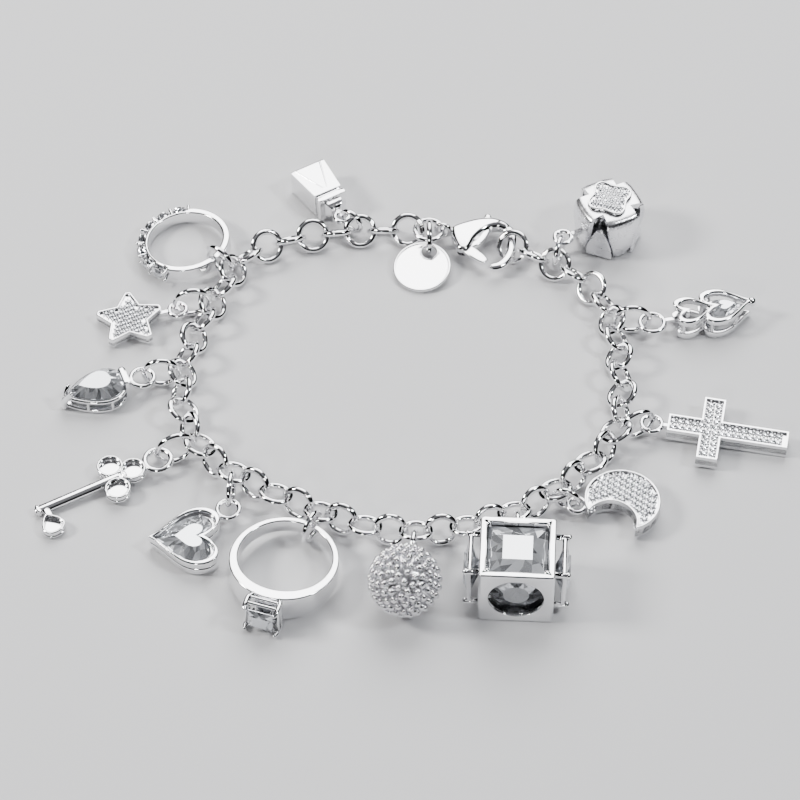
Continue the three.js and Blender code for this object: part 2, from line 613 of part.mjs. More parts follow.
const charms = {
  flower(row) {
    const hook = loop(row, 1.4);
    const base = TABLE_GAP - row.height;
    const axis = hook.start + FLOWER_RADIUS;
    const level = (share) => base + share * FLOWER_HEIGHT;
    const outer = [
      [0.8, 0.02], [0.97, 0.28], [1, 0.55], [0.9, 0.8], [0.3, 0.93],
    ];
    const skin = outer.map(([r, z]) => new THREE.Vector2(r * FLOWER_RADIUS, z * FLOWER_HEIGHT));
    const lining = outer.map(([r, z]) => new THREE.Vector2(
      r * FLOWER_RADIUS - FLOWER_PETAL,
      Math.max(0, z * FLOWER_HEIGHT - FLOWER_PETAL * z),
    )).reverse();
    const shell = new THREE.LatheGeometry([...skin, ...lining, skin[0]], 12)
      .rotateX(Math.PI / 2).translate(axis, 0, base);
    const coreRadius = 0.62 * FLOWER_RADIUS;
    const core = new THREE.CylinderGeometry(coreRadius, coreRadius, 0.8 * FLOWER_HEIGHT, 8)
      .rotateX(Math.PI / 2).translate(axis, 0, level(0.5));
    const notches = [];
    const tops = [];
    for (let k = 0; k < 4; k += 1) {
      const turn = radians(45 + 90 * k);
      const wedge = [
        new THREE.Vector2(-0.1, 0.22 * FLOWER_RADIUS),
        new THREE.Vector2(-0.1, -0.22 * FLOWER_RADIUS),
        new THREE.Vector2(0.72 * FLOWER_HEIGHT, 0),
      ];
      notches.push(plate(wedge, coreRadius, 1.3 * FLOWER_RADIUS).rotateY(-Math.PI / 2).scale(-1, 1, 1)
        .rotateZ(turn).translate(axis, 0, base));
      const [long, wide, thick] = [FLOWER_TOP_HALF, 0.95 * FLOWER_TOP_HALF, 0.12 * FLOWER_HEIGHT];
      tops.push(box(long / 2, 0, 0, long, wide, thick).rotateZ(radians(90 * k))
        .translate(axis, 0, level(0.94)));
    }
    const petals = cut(solidOf(shell), notches);
    return [['flower', petals.add(join([core, ...tops, ...hook.parts])), silver]];
  },

  hearts(row) {
    const [smallLength, largeLength] = [HEARTS_STRETCH * SMALL_HEART, HEARTS_STRETCH * LARGE_HEART];
    const hook = loop(row, HEART_CLEFT * smallLength + 0.5);
    const half = HEARTS_THICK / 2;
    const largeStart = hook.start + smallLength - HEART_CLEFT * largeLength - 0.3;
    const placed = (length, width, start) => heart(length, width, 12)
      .map((p) => p.add(new THREE.Vector2(start, 0)));
    const small = placed(smallLength, SMALL_HEART, hook.start);
    const large = placed(largeLength, LARGE_HEART, largeStart);
    const [end, tip] = [hook.start + HEART_CLEFT * smallLength, largeStart + largeLength];
    const body = join([
      ...hook.parts,
      ...gallery(small, HEART_RAIL, half, 2),
      ...gallery(large, HEART_RAIL, half, 3),
      box(end + HEART_RAIL / 2, 0, 0, 0.8 * HEART_RAIL, HEART_RAIL, 1.6 * half),
      box(hook.start + smallLength - HEART_RAIL, 0, 0, HEART_RAIL, 0.8 * HEART_RAIL, 1.6 * half),
      bead(tip - 0.1, 0, half - 0.5, 0.75, 6),
    ]);
    const seat = inset(large, HEART_RAIL + 0.75);
    return [
      ['hearts', body, silver],
      ['hearts_stone', solidOf(stone(seat, -0.2 * half, 0.75 * half, 1.15 * half)), crystal],
    ];
  },

  cross(row) {
    const hook = loop(row);
    const arm = hook.start + CROSS_ARM_AT * CROSS_LENGTH;
    const outline = (margin) => {
      const [w, s] = [CROSS_BAR / 2 - margin, CROSS_SPAN / 2 - margin];
      const [near, far] = [hook.start + margin, hook.start + CROSS_LENGTH - margin];
      return [
        [near, -w], [arm - w, -w], [arm - w, -s], [arm + w, -s], [arm + w, -w], [far, -w],
        [far, w], [arm + w, w], [arm + w, s], [arm - w, s], [arm - w, w], [near, w],
      ].map(([x, y]) => new THREE.Vector2(x, y));
    };
    const half = CROSS_THICK / 2;
    const body = join([plate(outline(0), -half, half), ...hook.parts]);
    return [['cross', cut(body, [plate(outline(PAVE_RIM), half - PAVE_SINK, half + 1)]), silver]];
  },

  moon(row) {
    const centre = new THREE.Vector2(row.loop + MOON_RADIUS - 0.2, 0);
    const offset = 0.78 * MOON_RADIUS;
    const facing = radians(-116);
    const outline = (margin) => {
      const [r, c] = [MOON_RADIUS - margin, MOON_CUT + margin];
      const along = (r * r - c * c + offset * offset) / (2 * offset);
      const horn = Math.acos(along / r);
      const inner = Math.PI - Math.acos((offset - along) / c);
      const middle = new THREE.Vector2(offset, 0).rotateAround(new THREE.Vector2(), facing).add(centre);
      return [
        ...arc(centre, r, facing + horn, facing + 2 * Math.PI - horn, 16),
        ...arc(middle, c, facing - inner, facing + inner - 2 * Math.PI, 8).slice(1, -1),
      ];
    };
    const half = MOON_THICK / 2;
    const body = join([plate(outline(0), -half, half), ring(row.loop, LOOP_WIRE)]);
    return [['moon', cut(body, [plate(outline(PAVE_RIM), half - PAVE_SINK, half + 1)]), silver]];
  },

  cube(row) {
    const hook = loop(row, 0.4);
    const base = TABLE_GAP - row.height;
    const middle = hook.start + CUBE_WIDTH / 2;
    const mid = base + CUBE_HEIGHT / 2;
    const cavity = CUBE_WIDTH - 2 * CUBE_WALL;
    const shell = box(middle, 0, mid, CUBE_WIDTH, CUBE_WIDTH, CUBE_HEIGHT);
    const hollow = box(middle, 0, base + CUBE_WALL + CUBE_HEIGHT / 2, cavity, cavity, CUBE_HEIGHT);
    const window = disc(0, 0, CUBE_WINDOW, 0, CUBE_WIDTH, 20).rotateY(Math.PI / 2)
      .translate(middle, 0, mid);
    const side = CUBE_SIDE_STONE / 2;
    const sideHole = box(middle, 0, mid, 2 * side - 1, CUBE_WIDTH + 1, 2 * side - 1);
    let body = cut(solidOf(shell), [hollow, window, sideHole]);
    const out = CUBE_WIDTH / 2 + CUBE_SIDE_RISE;
    const rods = [];
    [-1, 1].forEach((face) => [-1, 1].forEach((a) => [-1, 1].forEach((b) => {
      const reach = CUBE_SIDE_RISE + CUBE_WALL / 2;
      const [x, z] = [middle + a * (side + 0.2), mid + b * (side + 0.2)];
      rods.push(box(x, face * (out - reach / 2), z, 0.7, reach, 0.7));
    })));
    [-1, 1].forEach((a) => [-1, 1].forEach((b) => {
      const inner = cavity / 2 - 0.1;
      rods.push(box(middle + a * inner, b * inner, base + CUBE_HEIGHT - 0.55, 0.8, 0.8, 1.3));
    }));
    body = body.add(join([...rods, ...hook.parts]));
    const top = rectangle(0, 0, cavity - 0.3, cavity - 0.3);
    const topOutline = [];
    top.forEach((p, k) => {
      const next = top[(k + 1) % 4];
      topOutline.push(p.clone().lerp(next, 0.14), p.clone().lerp(next, 0.86));
    });
    const topStone = stone(topOutline, -3.4, -0.9, 0.1).translate(middle, 0, base + CUBE_HEIGHT);
    const sideStone = (face) => {
      const square = rectangle(0, 0, 2 * side - 0.45, 2 * side - 0.45);
      const outline = square.flatMap((p, k) => {
        const next = square[(k + 1) % 4];
        return [p.clone().lerp(next, 0.08), p.clone().lerp(next, 0.92)];
      });
      return stone(outline, -2.6, -0.6, 0.1).rotateX(-Math.PI / 2 * face)
        .translate(middle, face * (out - 0.2), mid);
    };
    const windowStone = stone(circle(0, 0, 2.7, 8), -2.2, -0.6, 0.1).rotateY(Math.PI / 2)
      .translate(middle + cavity / 2 + 0.2, 0, mid - 0.9);
    return [
      ['cube', body, silver],
      ['cube_top_stone', solidOf(topStone), crystal],
      ['cube_left_stone', solidOf(sideStone(-1)), crystal],
      ['cube_right_stone', solidOf(sideStone(1)), crystal],
      ['cube_window_stone', solidOf(windowStone), crystal],
    ];
  },

  ball(row) {
    const up = BALL_RADIUS + TABLE_GAP - row.height;
    const across = row.loop + Math.sqrt(BALL_RADIUS ** 2 - up ** 2);
    const sphere = new THREE.SphereGeometry(BALL_RADIUS, 14, 9).rotateX(Math.PI / 2);
    return [['ball', join([sphere.translate(across, 0, up), ring(row.loop, LOOP_WIRE)]), paved]];
  },

  solitaire() {
    const radius = SOLITAIRE_RADIUS - SOLITAIRE_BACK / 2;
    const crown = 23.5;
    const section = (turn) => {
      const share = ((1 + Math.cos(turn)) / 2) ** 2;
      return {
        wall: THREE.MathUtils.lerp(SOLITAIRE_BACK, SOLITAIRE_FRONT, share),
        half: THREE.MathUtils.lerp(SOLITAIRE_BACK_WIDTH, SOLITAIRE_FRONT_WIDTH, share) / 2,
      };
    };
    const body = band(radius - SOLITAIRE_BACK / 2, section, 24);
    const seat = SOLITAIRE_HEAD / 2;
    const inner = radius - SOLITAIRE_BACK / 2;
    const block = box(inner + 1.7, 0, 0, 2.2, SOLITAIRE_HEAD * 0.62, SOLITAIRE_HEAD * 0.62);
    const prongs = [];
    [-1, 1].forEach((a) => [-1, 1].forEach((b) => {
      const from = inner + 1.2;
      const length = SOLITAIRE_REACH - 0.2 - from;
      prongs.push(box(from + length / 2, a * seat, b * seat, length, 0.7, 0.7));
    }));
    const crossbar = [
      box(inner + 2.0, 0, 0, 0.9, SOLITAIRE_HEAD + 0.6, 0.7),
      box(inner + 2.0, 0, 0, 0.9, 0.7, SOLITAIRE_HEAD + 0.6),
      box(inner + 2.0, seat, 0, 0.9, 0.7, SOLITAIRE_HEAD),
      box(inner + 2.0, -seat, 0, 0.9, 0.7, SOLITAIRE_HEAD),
    ];
    const head = SOLITAIRE_HEAD - 0.95;
    const square = rectangle(0, 0, head, head).flatMap((p, k, all) => {
      const next = all[(k + 1) % 4];
      return [p.clone().lerp(next, 0.14), p.clone().lerp(next, 0.86)];
    });
    const gem = stone(square, -1.35, -0.55, 0).rotateY(Math.PI / 2).translate(SOLITAIRE_REACH, 0, 0);
    const turned = (geometry) => geometry.rotateZ(radians(crown));
    return [
      ['solitaire', join([body, block, ...prongs, ...crossbar].map(turned)), silver],
      ['solitaire_stone', solidOf(turned(gem)), crystal],
    ];
  },

  heart(row) {
    const hook = loop(row, 0.9);
    const half = HEART_THICK / 2;
    const middle = new THREE.Vector2(HEART_LENGTH / 2, 0);
    const placed = (points) => points.map((p) => p.rotateAround(middle, radians(HEART_TURN))
      .add(new THREE.Vector2(hook.start + 0.1, 0)));
    const outline = heart(HEART_LENGTH, HEART_LENGTH, 18);
    const hole = placed(inset(outline, HEART_BEZEL));
    const ledge = placed(inset(outline, HEART_BEZEL + 0.9));
    const seat = placed(inset(outline, HEART_BEZEL + 0.25));
    const rim = plate(placed(inset(outline, 0)), -half, half, 0, [hole]);
    const shelf = plate(placed(inset(outline, HEART_BEZEL / 2)), -half, -0.3 * half, 0, [ledge]);
    const body = join([rim, shelf, ...hook.parts]);
    return [
      ['heart', body, silver],
      ['heart_stone', solidOf(stone(seat, -0.1 * half, 0.45 * half, 1.2 * half, 0.66)), crystal],
    ];
  },

  key() {
    const half = KEY_THICK / 2;
    const middle = { x: 6.0, y: 0 };
    const shaftEnd = KEY_LENGTH - KEY_LOOP - KEY_LOOP_WIRE;
    const lobes = [{ x: 6.4, y: -2.2 }, { x: 3.5, y: 0.0 }, { x: 7.1, y: 2.3 }];
    const bit = { x: shaftEnd - 1.1, y: 3.6 };
    const cups = lobes.concat([bit]);
    const parts = [ring(KEY_LOOP, KEY_LOOP_WIRE)];
    cups.forEach((cup) => parts.push(disc(cup.x, cup.y, KEY_LOBE, -half, half, 10)));
    parts.push(disc(middle.x, middle.y, 1.4, -half, half, 8));
    const shaft = shaftEnd - middle.x;
    parts.push(box(middle.x + shaft / 2, middle.y, 0, shaft, KEY_SHAFT, 0.9 * KEY_THICK));
    parts.push(box(bit.x - 0.3, (middle.y + bit.y) / 2, 0, 1.1, bit.y - middle.y, 0.85 * KEY_THICK));
    const wells = cups.map((cup) => disc(cup.x, cup.y, KEY_LOBE - KEY_WELL, 0.1, half + 1, 8));
    return [['key', cut(join(parts), wells), silver]];
  },

  pear(row) {
    const hook = loop(row, 0.7);
    const half = PEAR_HEIGHT / 2;
    const shift = (points) => points.map((p) => p.add(new THREE.Vector2(hook.start, 0)));
    const outline = pear(PEAR_LENGTH, PEAR_WIDTH, 12);
    const seat = shift(inset(outline, PEAR_RAIL * 0.55));
    const rails = gallery(shift(outline), PEAR_RAIL, half * 0.72, 4)
      .map((part) => part.translate(0, 0, -0.28 * half));
    const claw = box(hook.start + 0.15, 0, 0.1 * half, 0.7, PEAR_WIDTH * 0.42, PEAR_HEIGHT * 0.9);
    const tip = box(hook.start + PEAR_LENGTH - 0.1, 0, 0.1 * half, 0.8, 1.5, PEAR_HEIGHT * 0.9);
    const gem = stone(inset(seat, 0.25), 0.52 * half, 0.78 * half, 1.35 * half, 0.55);
    return [
      ['pear', join([...rails, claw, tip, ...hook.parts]), silver],
      ['pear_stone', solidOf(gem), crystal],
    ];
  },

  star(row) {
    const hook = loop(row, 1.2);
    const centre = hook.start + STAR_TIP;
    const outline = (margin) => {
      const points = [];
      for (let k = 0; k < 5; k += 1) {
        const tip = Math.PI + radians(STAR_TURN) + (2 * Math.PI * k) / 5;
        const reach = STAR_TIP - 1.5 * margin;
        const corners = [[tip - 0.09, reach], [tip + 0.09, reach], [tip + Math.PI / 5, STAR_NOTCH - margin]];
        corners.forEach(([turn, r]) => {
          points.push(new THREE.Vector2(centre + r * Math.cos(turn), r * Math.sin(turn)));
        });
      }
      return points;
    };
    const half = STAR_THICK / 2;
    const body = join([plate(outline(0), -half, half), ...hook.parts]);
    return [['star', cut(body, [plate(outline(PAVE_RIM), half - PAVE_SINK, half + 1)]), silver]];
  },

  eternity() {
    const radius = ETERNITY_RADIUS - ETERNITY_WALL / 2;
    const section = () => ({ wall: ETERNITY_WALL, half: ETERNITY_WIDTH / 2 });
    const inner = ETERNITY_RADIUS - ETERNITY_WALL;
    const centreTurn = 15.5;
    const cups = [];
    const gems = [];
    for (let k = 0; k < ETERNITY_STONES; k += 1) {
      const turn = radians(centreTurn + ETERNITY_ARC * (k / (ETERNITY_STONES - 1) - 0.5));
      const place = (geometry) => geometry.rotateY(Math.PI / 2).rotateZ(turn);
      cups.push(place(disc(0, 0, ETERNITY_STONE + 0.12, inner + 0.5, ETERNITY_RADIUS + 0.25, 8)));
      gems.push(place(stone(circle(0, 0, ETERNITY_STONE, 8), 0.4, 0.75, 1.1))
        .translate(ETERNITY_RADIUS * Math.cos(turn), ETERNITY_RADIUS * Math.sin(turn), 0));
    }
    const body = join([band(inner, section, 24), ...cups]);
    return [
      ['eternity', body, silver],
      ...gems.map((gem, k) => [`eternity_stone_${k + 1}`, solidOf(gem), crystal]),
    ];
  },

  bar(row) {
    const hook = loop(row, 0.6);
    const far = hook.start + BAR_LENGTH;
    const neckEnd = hook.start + BAR_CAP;
    const groove = 0.5;
    const collar = 0.9;
    const parts = [
      ...hook.parts,
      frustum(hook.start, neckEnd, 0.4, 0.6),
      frustum(neckEnd - 0.01, neckEnd + collar, 1, 1),
      frustum(neckEnd + collar - 0.2, neckEnd + collar + groove + 0.2, 0.86, 0.86),
      frustum(neckEnd + collar + groove, far, 1, BAR_WIDE / BAR_NARROW),
    ];
    return [['bar', join(parts), silver]];
  },
};

// A finger ring lying flat, from its inner radius and its wall and half width round it, from +x.
function band(inner, sectionAt, sides) {
  const positions = [];
  const corner = (k, n) => {
    const turn = (2 * Math.PI * (k % sides)) / sides;
    const { wall, half } = sectionAt(turn);
    const r = inner + [0, 0, wall, wall][n % 4];
    return [r * Math.cos(turn), r * Math.sin(turn), half * [-1, 1, 1, -1][n % 4]];
  };
  for (let k = 0; k < sides; k += 1) {
    for (let n = 0; n < 4; n += 1) {
      positions.push(...corner(k, n), ...corner(k + 1, n + 1), ...corner(k, n + 1));
      positions.push(...corner(k, n), ...corner(k + 1, n), ...corner(k + 1, n + 1));
    }
  }
  const geometry = new THREE.BufferGeometry();
  geometry.setAttribute('position', new THREE.Float32BufferAttribute(positions, 3));
  return geometry;
}

// A length of the square bar between two x, with its sides as shares of the narrow end.
function frustum(from, to, near, far) {
  const geometry = new THREE.BoxGeometry(to - from, BAR_NARROW, BAR_HEIGHT);
  const position = geometry.getAttribute('position');
  for (let k = 0; k < position.count; k += 1) {
    const share = position.getX(k) < 0 ? near : far;
    const rise = Math.min(1, share);
    position.setXYZ(k, position.getX(k), position.getY(k) * share, position.getZ(k) * rise);
  }
  return geometry.translate((from + to) / 2, 0, 0);
}

// Loops that the jump rings go round: the centre-line radius, and half the thickness as the ring sees it.
const HELD = {
  key: { radius: KEY_LOOP, wire: KEY_LOOP_WIRE },
  solitaire: {
    radius: SOLITAIRE_RADIUS - SOLITAIRE_BACK / 2,
    wire: Math.hypot(SOLITAIRE_BACK, SOLITAIRE_BACK_WIDTH) / 2,
  },
  eternity: {
    radius: ETERNITY_RADIUS - ETERNITY_WALL / 2,
    wire: Math.hypot(ETERNITY_WALL, ETERNITY_WIDTH) / 2,
  },
};
const STANDING = ['flower', 'cube', 'ball'];

// The lean at which a body with its loop's inner end held at a height touches the table.
function restingLean(points, held, height) {
  const lowest = (lean) => {
    const [s, c] = [Math.sin(lean), Math.cos(lean)];
    return Math.min(...points.map((p) => p.z * c - (p.x + held) * s)) + height;
  };
  let [low, high] = [radians(-15), radians(30)];
  for (let k = 0; k < 30; k += 1) {
    const middle = (low + high) / 2;
    if (lowest(middle) > TABLE_GAP) low = middle;
    else high = middle;
  }
  return low;
}

function cornersOf(mesh) {
  const position = mesh.geometry.getAttribute('position');
  return Array.from({ length: position.count }, (_, k) => (
    new THREE.Vector3().fromBufferAttribute(position, k)
  ));
}

function hangCharm(name, row) {
  const held = HELD[name] ?? { radius: row.loop, wire: LOOP_WIRE };
  const index = 2 * Math.round((row.share * (chain.links.length - 1)) / 2);
  const link = chain.links[index];
  const reach = Math.sqrt(LINK_RADIUS ** 2 - row.slide ** 2);
  const top = link.centre.clone().addScaledVector(link.along, row.slide)
    .addScaledVector(link.outward, reach * Math.cos(link.roll))
    .addScaledVector(UP, reach * Math.sin(link.roll));
  const away = link.outward.clone().applyAxisAngle(UP, radians(row.swing));
  const radius = JUMP_RADIUS * row.ring;
  const step = (from, length, height) => {
    const drop = Math.asin(THREE.MathUtils.clamp((from.z - height) / length, -0.95, 0.95));
    return from.clone().addScaledVector(away, length * Math.cos(drop))
      .addScaledVector(UP, -length * Math.sin(drop));
  };
  const ringAt = step(top, radius - JUMP_WIRE - LINK_WIRE - PLAY, radius + JUMP_WIRE + TABLE_GAP);
  const contact = step(ringAt, radius - JUMP_WIRE - held.wire - PLAY, row.height);
  ringPiece(`${name}_ring`, radius, JUMP_WIRE, ringFrame(ringAt, away, UP.clone(), 0));

  const pieces = charms[name](row);
  const group = new THREE.Group();
  pieces.forEach(([node, solid, finish]) => piece(group, node, solid, finish));
  let lean = 0;
  if (!STANDING.includes(name)) {
    lean = restingLean(group.children.flatMap(cornersOf), held.radius, contact.z);
  }
  group.position.copy(contact).addScaledVector(away, held.radius * Math.cos(lean));
  group.position.z = STANDING.includes(name) ? row.height : contact.z - held.radius * Math.sin(lean);
  group.rotation.set(0, lean, radians(row.heading), 'ZYX');
  bracelet.add(group);
}

Object.entries(HANGING).forEach(([name, row]) => hangCharm(name, row));

// The origin is the centre of the whole bracelet's footprint, on the table.
bracelet.updateMatrixWorld(true);
const bounds = new THREE.Box3().setFromObject(bracelet, true);
const footprint = bounds.getCenter(new THREE.Vector3());
bracelet.position.set(-footprint.x, -footprint.y, -bounds.min.z);

export default bracelet;
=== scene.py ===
"""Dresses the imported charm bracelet: smooth links and rings, domed castings, pave and cut stones.

Shapes are in millimetres. A charm's own frame has the centre of its loop at the origin and its body
towards +x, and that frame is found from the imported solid, so the dressing follows the CAD.
"""

import json
import logging
import math
import random
from dataclasses import dataclass, field
from enum import Enum
from typing import Iterable, Sequence

import bmesh
import bpy
import numpy as np
from mathutils import Matrix, Vector

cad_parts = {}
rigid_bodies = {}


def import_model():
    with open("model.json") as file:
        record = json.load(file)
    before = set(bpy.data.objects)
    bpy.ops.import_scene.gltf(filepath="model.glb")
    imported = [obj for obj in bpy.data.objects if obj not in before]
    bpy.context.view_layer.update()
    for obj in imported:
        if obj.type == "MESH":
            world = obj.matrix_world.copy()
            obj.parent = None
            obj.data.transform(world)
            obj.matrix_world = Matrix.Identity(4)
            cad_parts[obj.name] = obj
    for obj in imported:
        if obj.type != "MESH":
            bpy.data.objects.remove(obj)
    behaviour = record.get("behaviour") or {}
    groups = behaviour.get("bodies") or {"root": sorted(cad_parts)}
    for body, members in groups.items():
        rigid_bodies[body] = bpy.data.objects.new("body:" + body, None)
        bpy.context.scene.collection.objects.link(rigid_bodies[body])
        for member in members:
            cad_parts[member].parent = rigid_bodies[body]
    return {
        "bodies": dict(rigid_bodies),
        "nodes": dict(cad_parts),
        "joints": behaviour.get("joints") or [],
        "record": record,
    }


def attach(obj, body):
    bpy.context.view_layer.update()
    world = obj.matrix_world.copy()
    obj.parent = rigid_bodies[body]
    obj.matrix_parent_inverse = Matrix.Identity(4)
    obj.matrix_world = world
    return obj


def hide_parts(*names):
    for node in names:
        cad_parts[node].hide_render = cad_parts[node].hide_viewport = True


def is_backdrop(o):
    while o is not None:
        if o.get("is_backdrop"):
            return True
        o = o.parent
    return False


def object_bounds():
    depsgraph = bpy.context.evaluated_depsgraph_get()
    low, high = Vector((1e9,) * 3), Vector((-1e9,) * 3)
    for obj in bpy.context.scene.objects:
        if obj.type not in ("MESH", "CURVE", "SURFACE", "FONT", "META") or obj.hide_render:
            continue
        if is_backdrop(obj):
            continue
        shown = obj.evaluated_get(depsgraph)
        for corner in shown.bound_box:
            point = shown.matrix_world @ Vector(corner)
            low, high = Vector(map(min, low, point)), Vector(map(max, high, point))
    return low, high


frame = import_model()
NODES = frame["nodes"]

log = logging.getLogger("bracelet")

MM = 0.001
UP = Vector((0.0, 0.0, 1.0))
BODY = "bracelet"
LEVER = "lever"

# The outer edge of a five-sided wire, as a share of its radius.
WIRE_EDGE = math.cos(math.radians(36))
SMOOTH_ANGLE = math.radians(38)

# The brightness levels painted at random on a cut stone's facets, as painted reflections standing in for the
# light and dark its facets reflect, and the tint the facets share.
PAINTED_FACET_REFLECTIONS = (0.4, 0.6, 0.8, 1.0, 1.0, 1.0)
FACET_TINT = (0.94, 0.96, 1.0)

Outline = list[Vector]


class Slot(Enum):
    """The record's material slots."""

    SILVER = "silver"
    GRAINED = "grained_silver"
    CRYSTAL = "crystal"


@dataclass(frozen=True)
class Finish:
    """How a surface looks.

    Args:
        name: The material's name.
        slot: The record's slot it belongs to.
        colour: Its base colour.
        roughness: Its roughness, which noise varies by a fifth.
        metallic: How metallic it is.
        transmission: How much light goes through it.
        ior: Its index of refraction.
        ripple: The height of the unevenness of its surface, in millimetres.
        ripple_size: The width of that unevenness, in millimetres.
        paints_facet_reflections: Whether each of its facets gets a random painted brightness, a painted
            reflection standing in for the light and dark a cut stone's facets reflect.
    """

    name: str
    slot: Slot
    colour: tuple[float, float, float]
    roughness: float
    metallic: float = 1.0
    transmission: float = 0.0
    ior: float = 1.5
    ripple: float = 0.0
    ripple_size: float = 1.0
    paints_facet_reflections: bool = False

    def material(self) -> bpy.types.Material:
        """Makes the material, or returns it if it is made.

        Returns:
            The material.
        """
        made = bpy.data.materials.get(self.name)
        if made:
            return made
        made = bpy.data.materials.new(self.name)
        made.use_nodes = True
        nodes, links = made.node_tree.nodes, made.node_tree.links
        shader = nodes["Principled BSDF"]
        shader.inputs["Base Color"].default_value = (*self.colour, 1.0)
        shader.inputs["Metallic"].default_value = self.metallic
        shader.inputs["Roughness"].default_value = self.roughness
        shader.inputs["Transmission Weight"].default_value = self.transmission
        shader.inputs["IOR"].default_value = self.ior
        if self.paints_facet_reflections:
            # Painted reflections: the base colour comes from an attribute that gives each facet a random
            # brightness, standing in for the light and dark a cut stone's facets reflect.
            painted_reflection = nodes.new("ShaderNodeAttribute")
            painted_reflection.attribute_name = "painted_reflection"
            links.new(painted_reflection.outputs["Color"], shader.inputs["Base Color"])
        if self.ripple:
            place = nodes.new("ShaderNodeTexCoord")
            noise = nodes.new("ShaderNodeTexNoise")
            noise.inputs["Scale"].default_value = 1.0 / (self.ripple_size * MM)
            noise.inputs["Detail"].default_value = 2.0
            spread = nodes.new("ShaderNodeMapRange")
            spread.inputs["To Min"].default_value = self.roughness * 0.8
            spread.inputs["To Max"].default_value = self.roughness * 1.2
            bump = nodes.new("ShaderNodeBump")
            bump.inputs["Strength"].default_value = 1.0
            bump.inputs["Distance"].default_value = self.ripple * MM
            links.new(place.outputs["Object"], noise.inputs["Vector"])
            links.new(noise.outputs["Fac"], spread.inputs["Value"])
            links.new(spread.outputs["Result"], shader.inputs["Roughness"])
            links.new(noise.outputs["Fac"], bump.inputs["Height"])
            links.new(bump.outputs["Normal"], shader.inputs["Normal"])
        return made


# No finish takes the name of a slot: the frame brings in a material under each of those names, and
# Finish.material would return that one.
SILVER = Finish("polished_silver", Slot.SILVER, (0.93, 0.93, 0.94), 0.11, ripple=0.02, ripple_size=1.6)
SATIN = Finish("satin_silver", Slot.SILVER, (0.90, 0.90, 0.92), 0.26, ripple=0.03, ripple_size=0.8)
GRAINED = Finish("granulated_silver", Slot.GRAINED, (0.88, 0.88, 0.90), 0.2, ripple=0.02, ripple_size=0.5)
# The crystal's facets get painted reflections: a random brightness painted into each facet's base colour.
CRYSTAL = Finish(
    "cut_crystal", Slot.CRYSTAL, (0.93, 0.95, 1.0), 0.06, metallic=0.5, transmission=0.35, ior=2.3,
    paints_facet_reflections=True,
)


# Outlines


def circle(radius: float, sides: int, centre: Sequence[float] = (0.0, 0.0)) -> Outline:
    """A round outline, anticlockwise.

    Args:
        radius: Its radius.
        sides: How many corners it has.
        centre: Its centre.

    Returns:
        The corners.
    """
    turns = [2 * math.pi * (k + 0.5) / sides for k in range(sides)]
    return [Vector((centre[0] + radius * math.cos(t), centre[1] + radius * math.sin(t))) for t in turns]


def rectangle(width: float, height: float, centre: Sequence[float] = (0.0, 0.0), cut: float = 0.0) -> Outline:
    """A rectangle, anticlockwise, with its corners cut off.

    Args:
        width: Its size along x.
        height: Its size along y.
        centre: Its centre.
        cut: How much of each corner is cut off.

    Returns:
        The corners.
    """
    w, h = width / 2, height / 2
    if not cut:
        corners = [(-w, -h), (w, -h), (w, h), (-w, h)]
    else:
        corners = [
            (-w + cut, -h), (w - cut, -h), (w, -h + cut), (w, h - cut),
            (w - cut, h), (-w + cut, h), (-w, h - cut), (-w, -h + cut),
        ]  # fmt: skip
    return [Vector((centre[0] + x, centre[1] + y)) for x, y in corners]


def even(line: Outline, steps: int) -> Outline:
    """Evenly spaced points along an open line, both ends included.

    Args:
        line: The line.
        steps: How many stretches it is cut into.

    Returns:
        The points.
    """
    runs = [0.0]
    for a, b in zip(line, line[1:]):
        runs.append(runs[-1] + (b - a).length)
    spots = [runs[-1] * k / steps for k in range(steps + 1)]
    xs = np.interp(spots, runs, [p.x for p in line])
    ys = np.interp(spots, runs, [p.y for p in line])
    return [Vector((float(x), float(y))) for x, y in zip(xs, ys)]


def mirrored(side: Outline) -> Outline:
    """An outline from its half above the x axis, which runs from its left end to its right end.

    Args:
        side: The half, both ends included.

    Returns:
        The whole outline, anticlockwise.
    """
    return side[::-1] + [Vector((p.x, -p.y)) for p in side[1:-1]]


def divided(outline: Outline, parts: int) -> Outline:
    """An outline with more corners along its sides.

    Args:
        outline: The corners.
        parts: How many parts each side is cut into.

    Returns:
        The new corners.
    """
    return [a.lerp(b, n / parts) for a, b in zip(outline, outline[1:] + outline[:1]) for n in range(parts)]


def heart_outline(length: float, width: float, steps: int = 48) -> Outline:
    """A heart with its lobes at x = 0 and its tip at x = length, anticlockwise.

    Args:
        length: Its length from lobes to tip.
        width: Its width over the lobes.
        steps: How many corners it has.

    Returns:
        The corners.
    """
    side = []
    for k in range(301):
        t = math.pi * k / 300
        along = 13 * math.cos(t) - 5 * math.cos(2 * t) - 2 * math.cos(3 * t) - math.cos(4 * t)
        side.append(Vector((length * (11.9 - along) / 28.9, width * math.sin(t) ** 2.3 / 2)))
    return mirrored(even(side, steps // 2))


def pear_outline(length: float, width: float, steps: int = 40) -> Outline:
    """A pear, round at x = 0 and pointed at x = length, anticlockwise.

    Args:
        length: Its length.
        width: Its width.
        steps: How many corners it has.

    Returns:
        The corners.
    """
    side = []
    for k in range(301):
        t = math.pi * k / 300
        taper = math.sin(t) * abs(math.sin(t / 2)) ** 0.9
        side.append(Vector((length * (1 + math.cos(t)) / 2, width * 0.62 * taper)))
    return mirrored(even(side[::-1], steps // 2))


def moved(outline: Outline, x: float = 0.0, y: float = 0.0, turn: float = 0.0) -> Outline:
    """An outline turned about the origin and then moved.

    Args:
        outline: The corners.
        x: How far it moves along x.
        y: How far it moves along y.
        turn: How far it turns, in radians.

    Returns:
        The new corners.
    """
    c, s = math.cos(turn), math.sin(turn)
    return [Vector((x + c * p.x - s * p.y, y + s * p.x + c * p.y)) for p in outline]


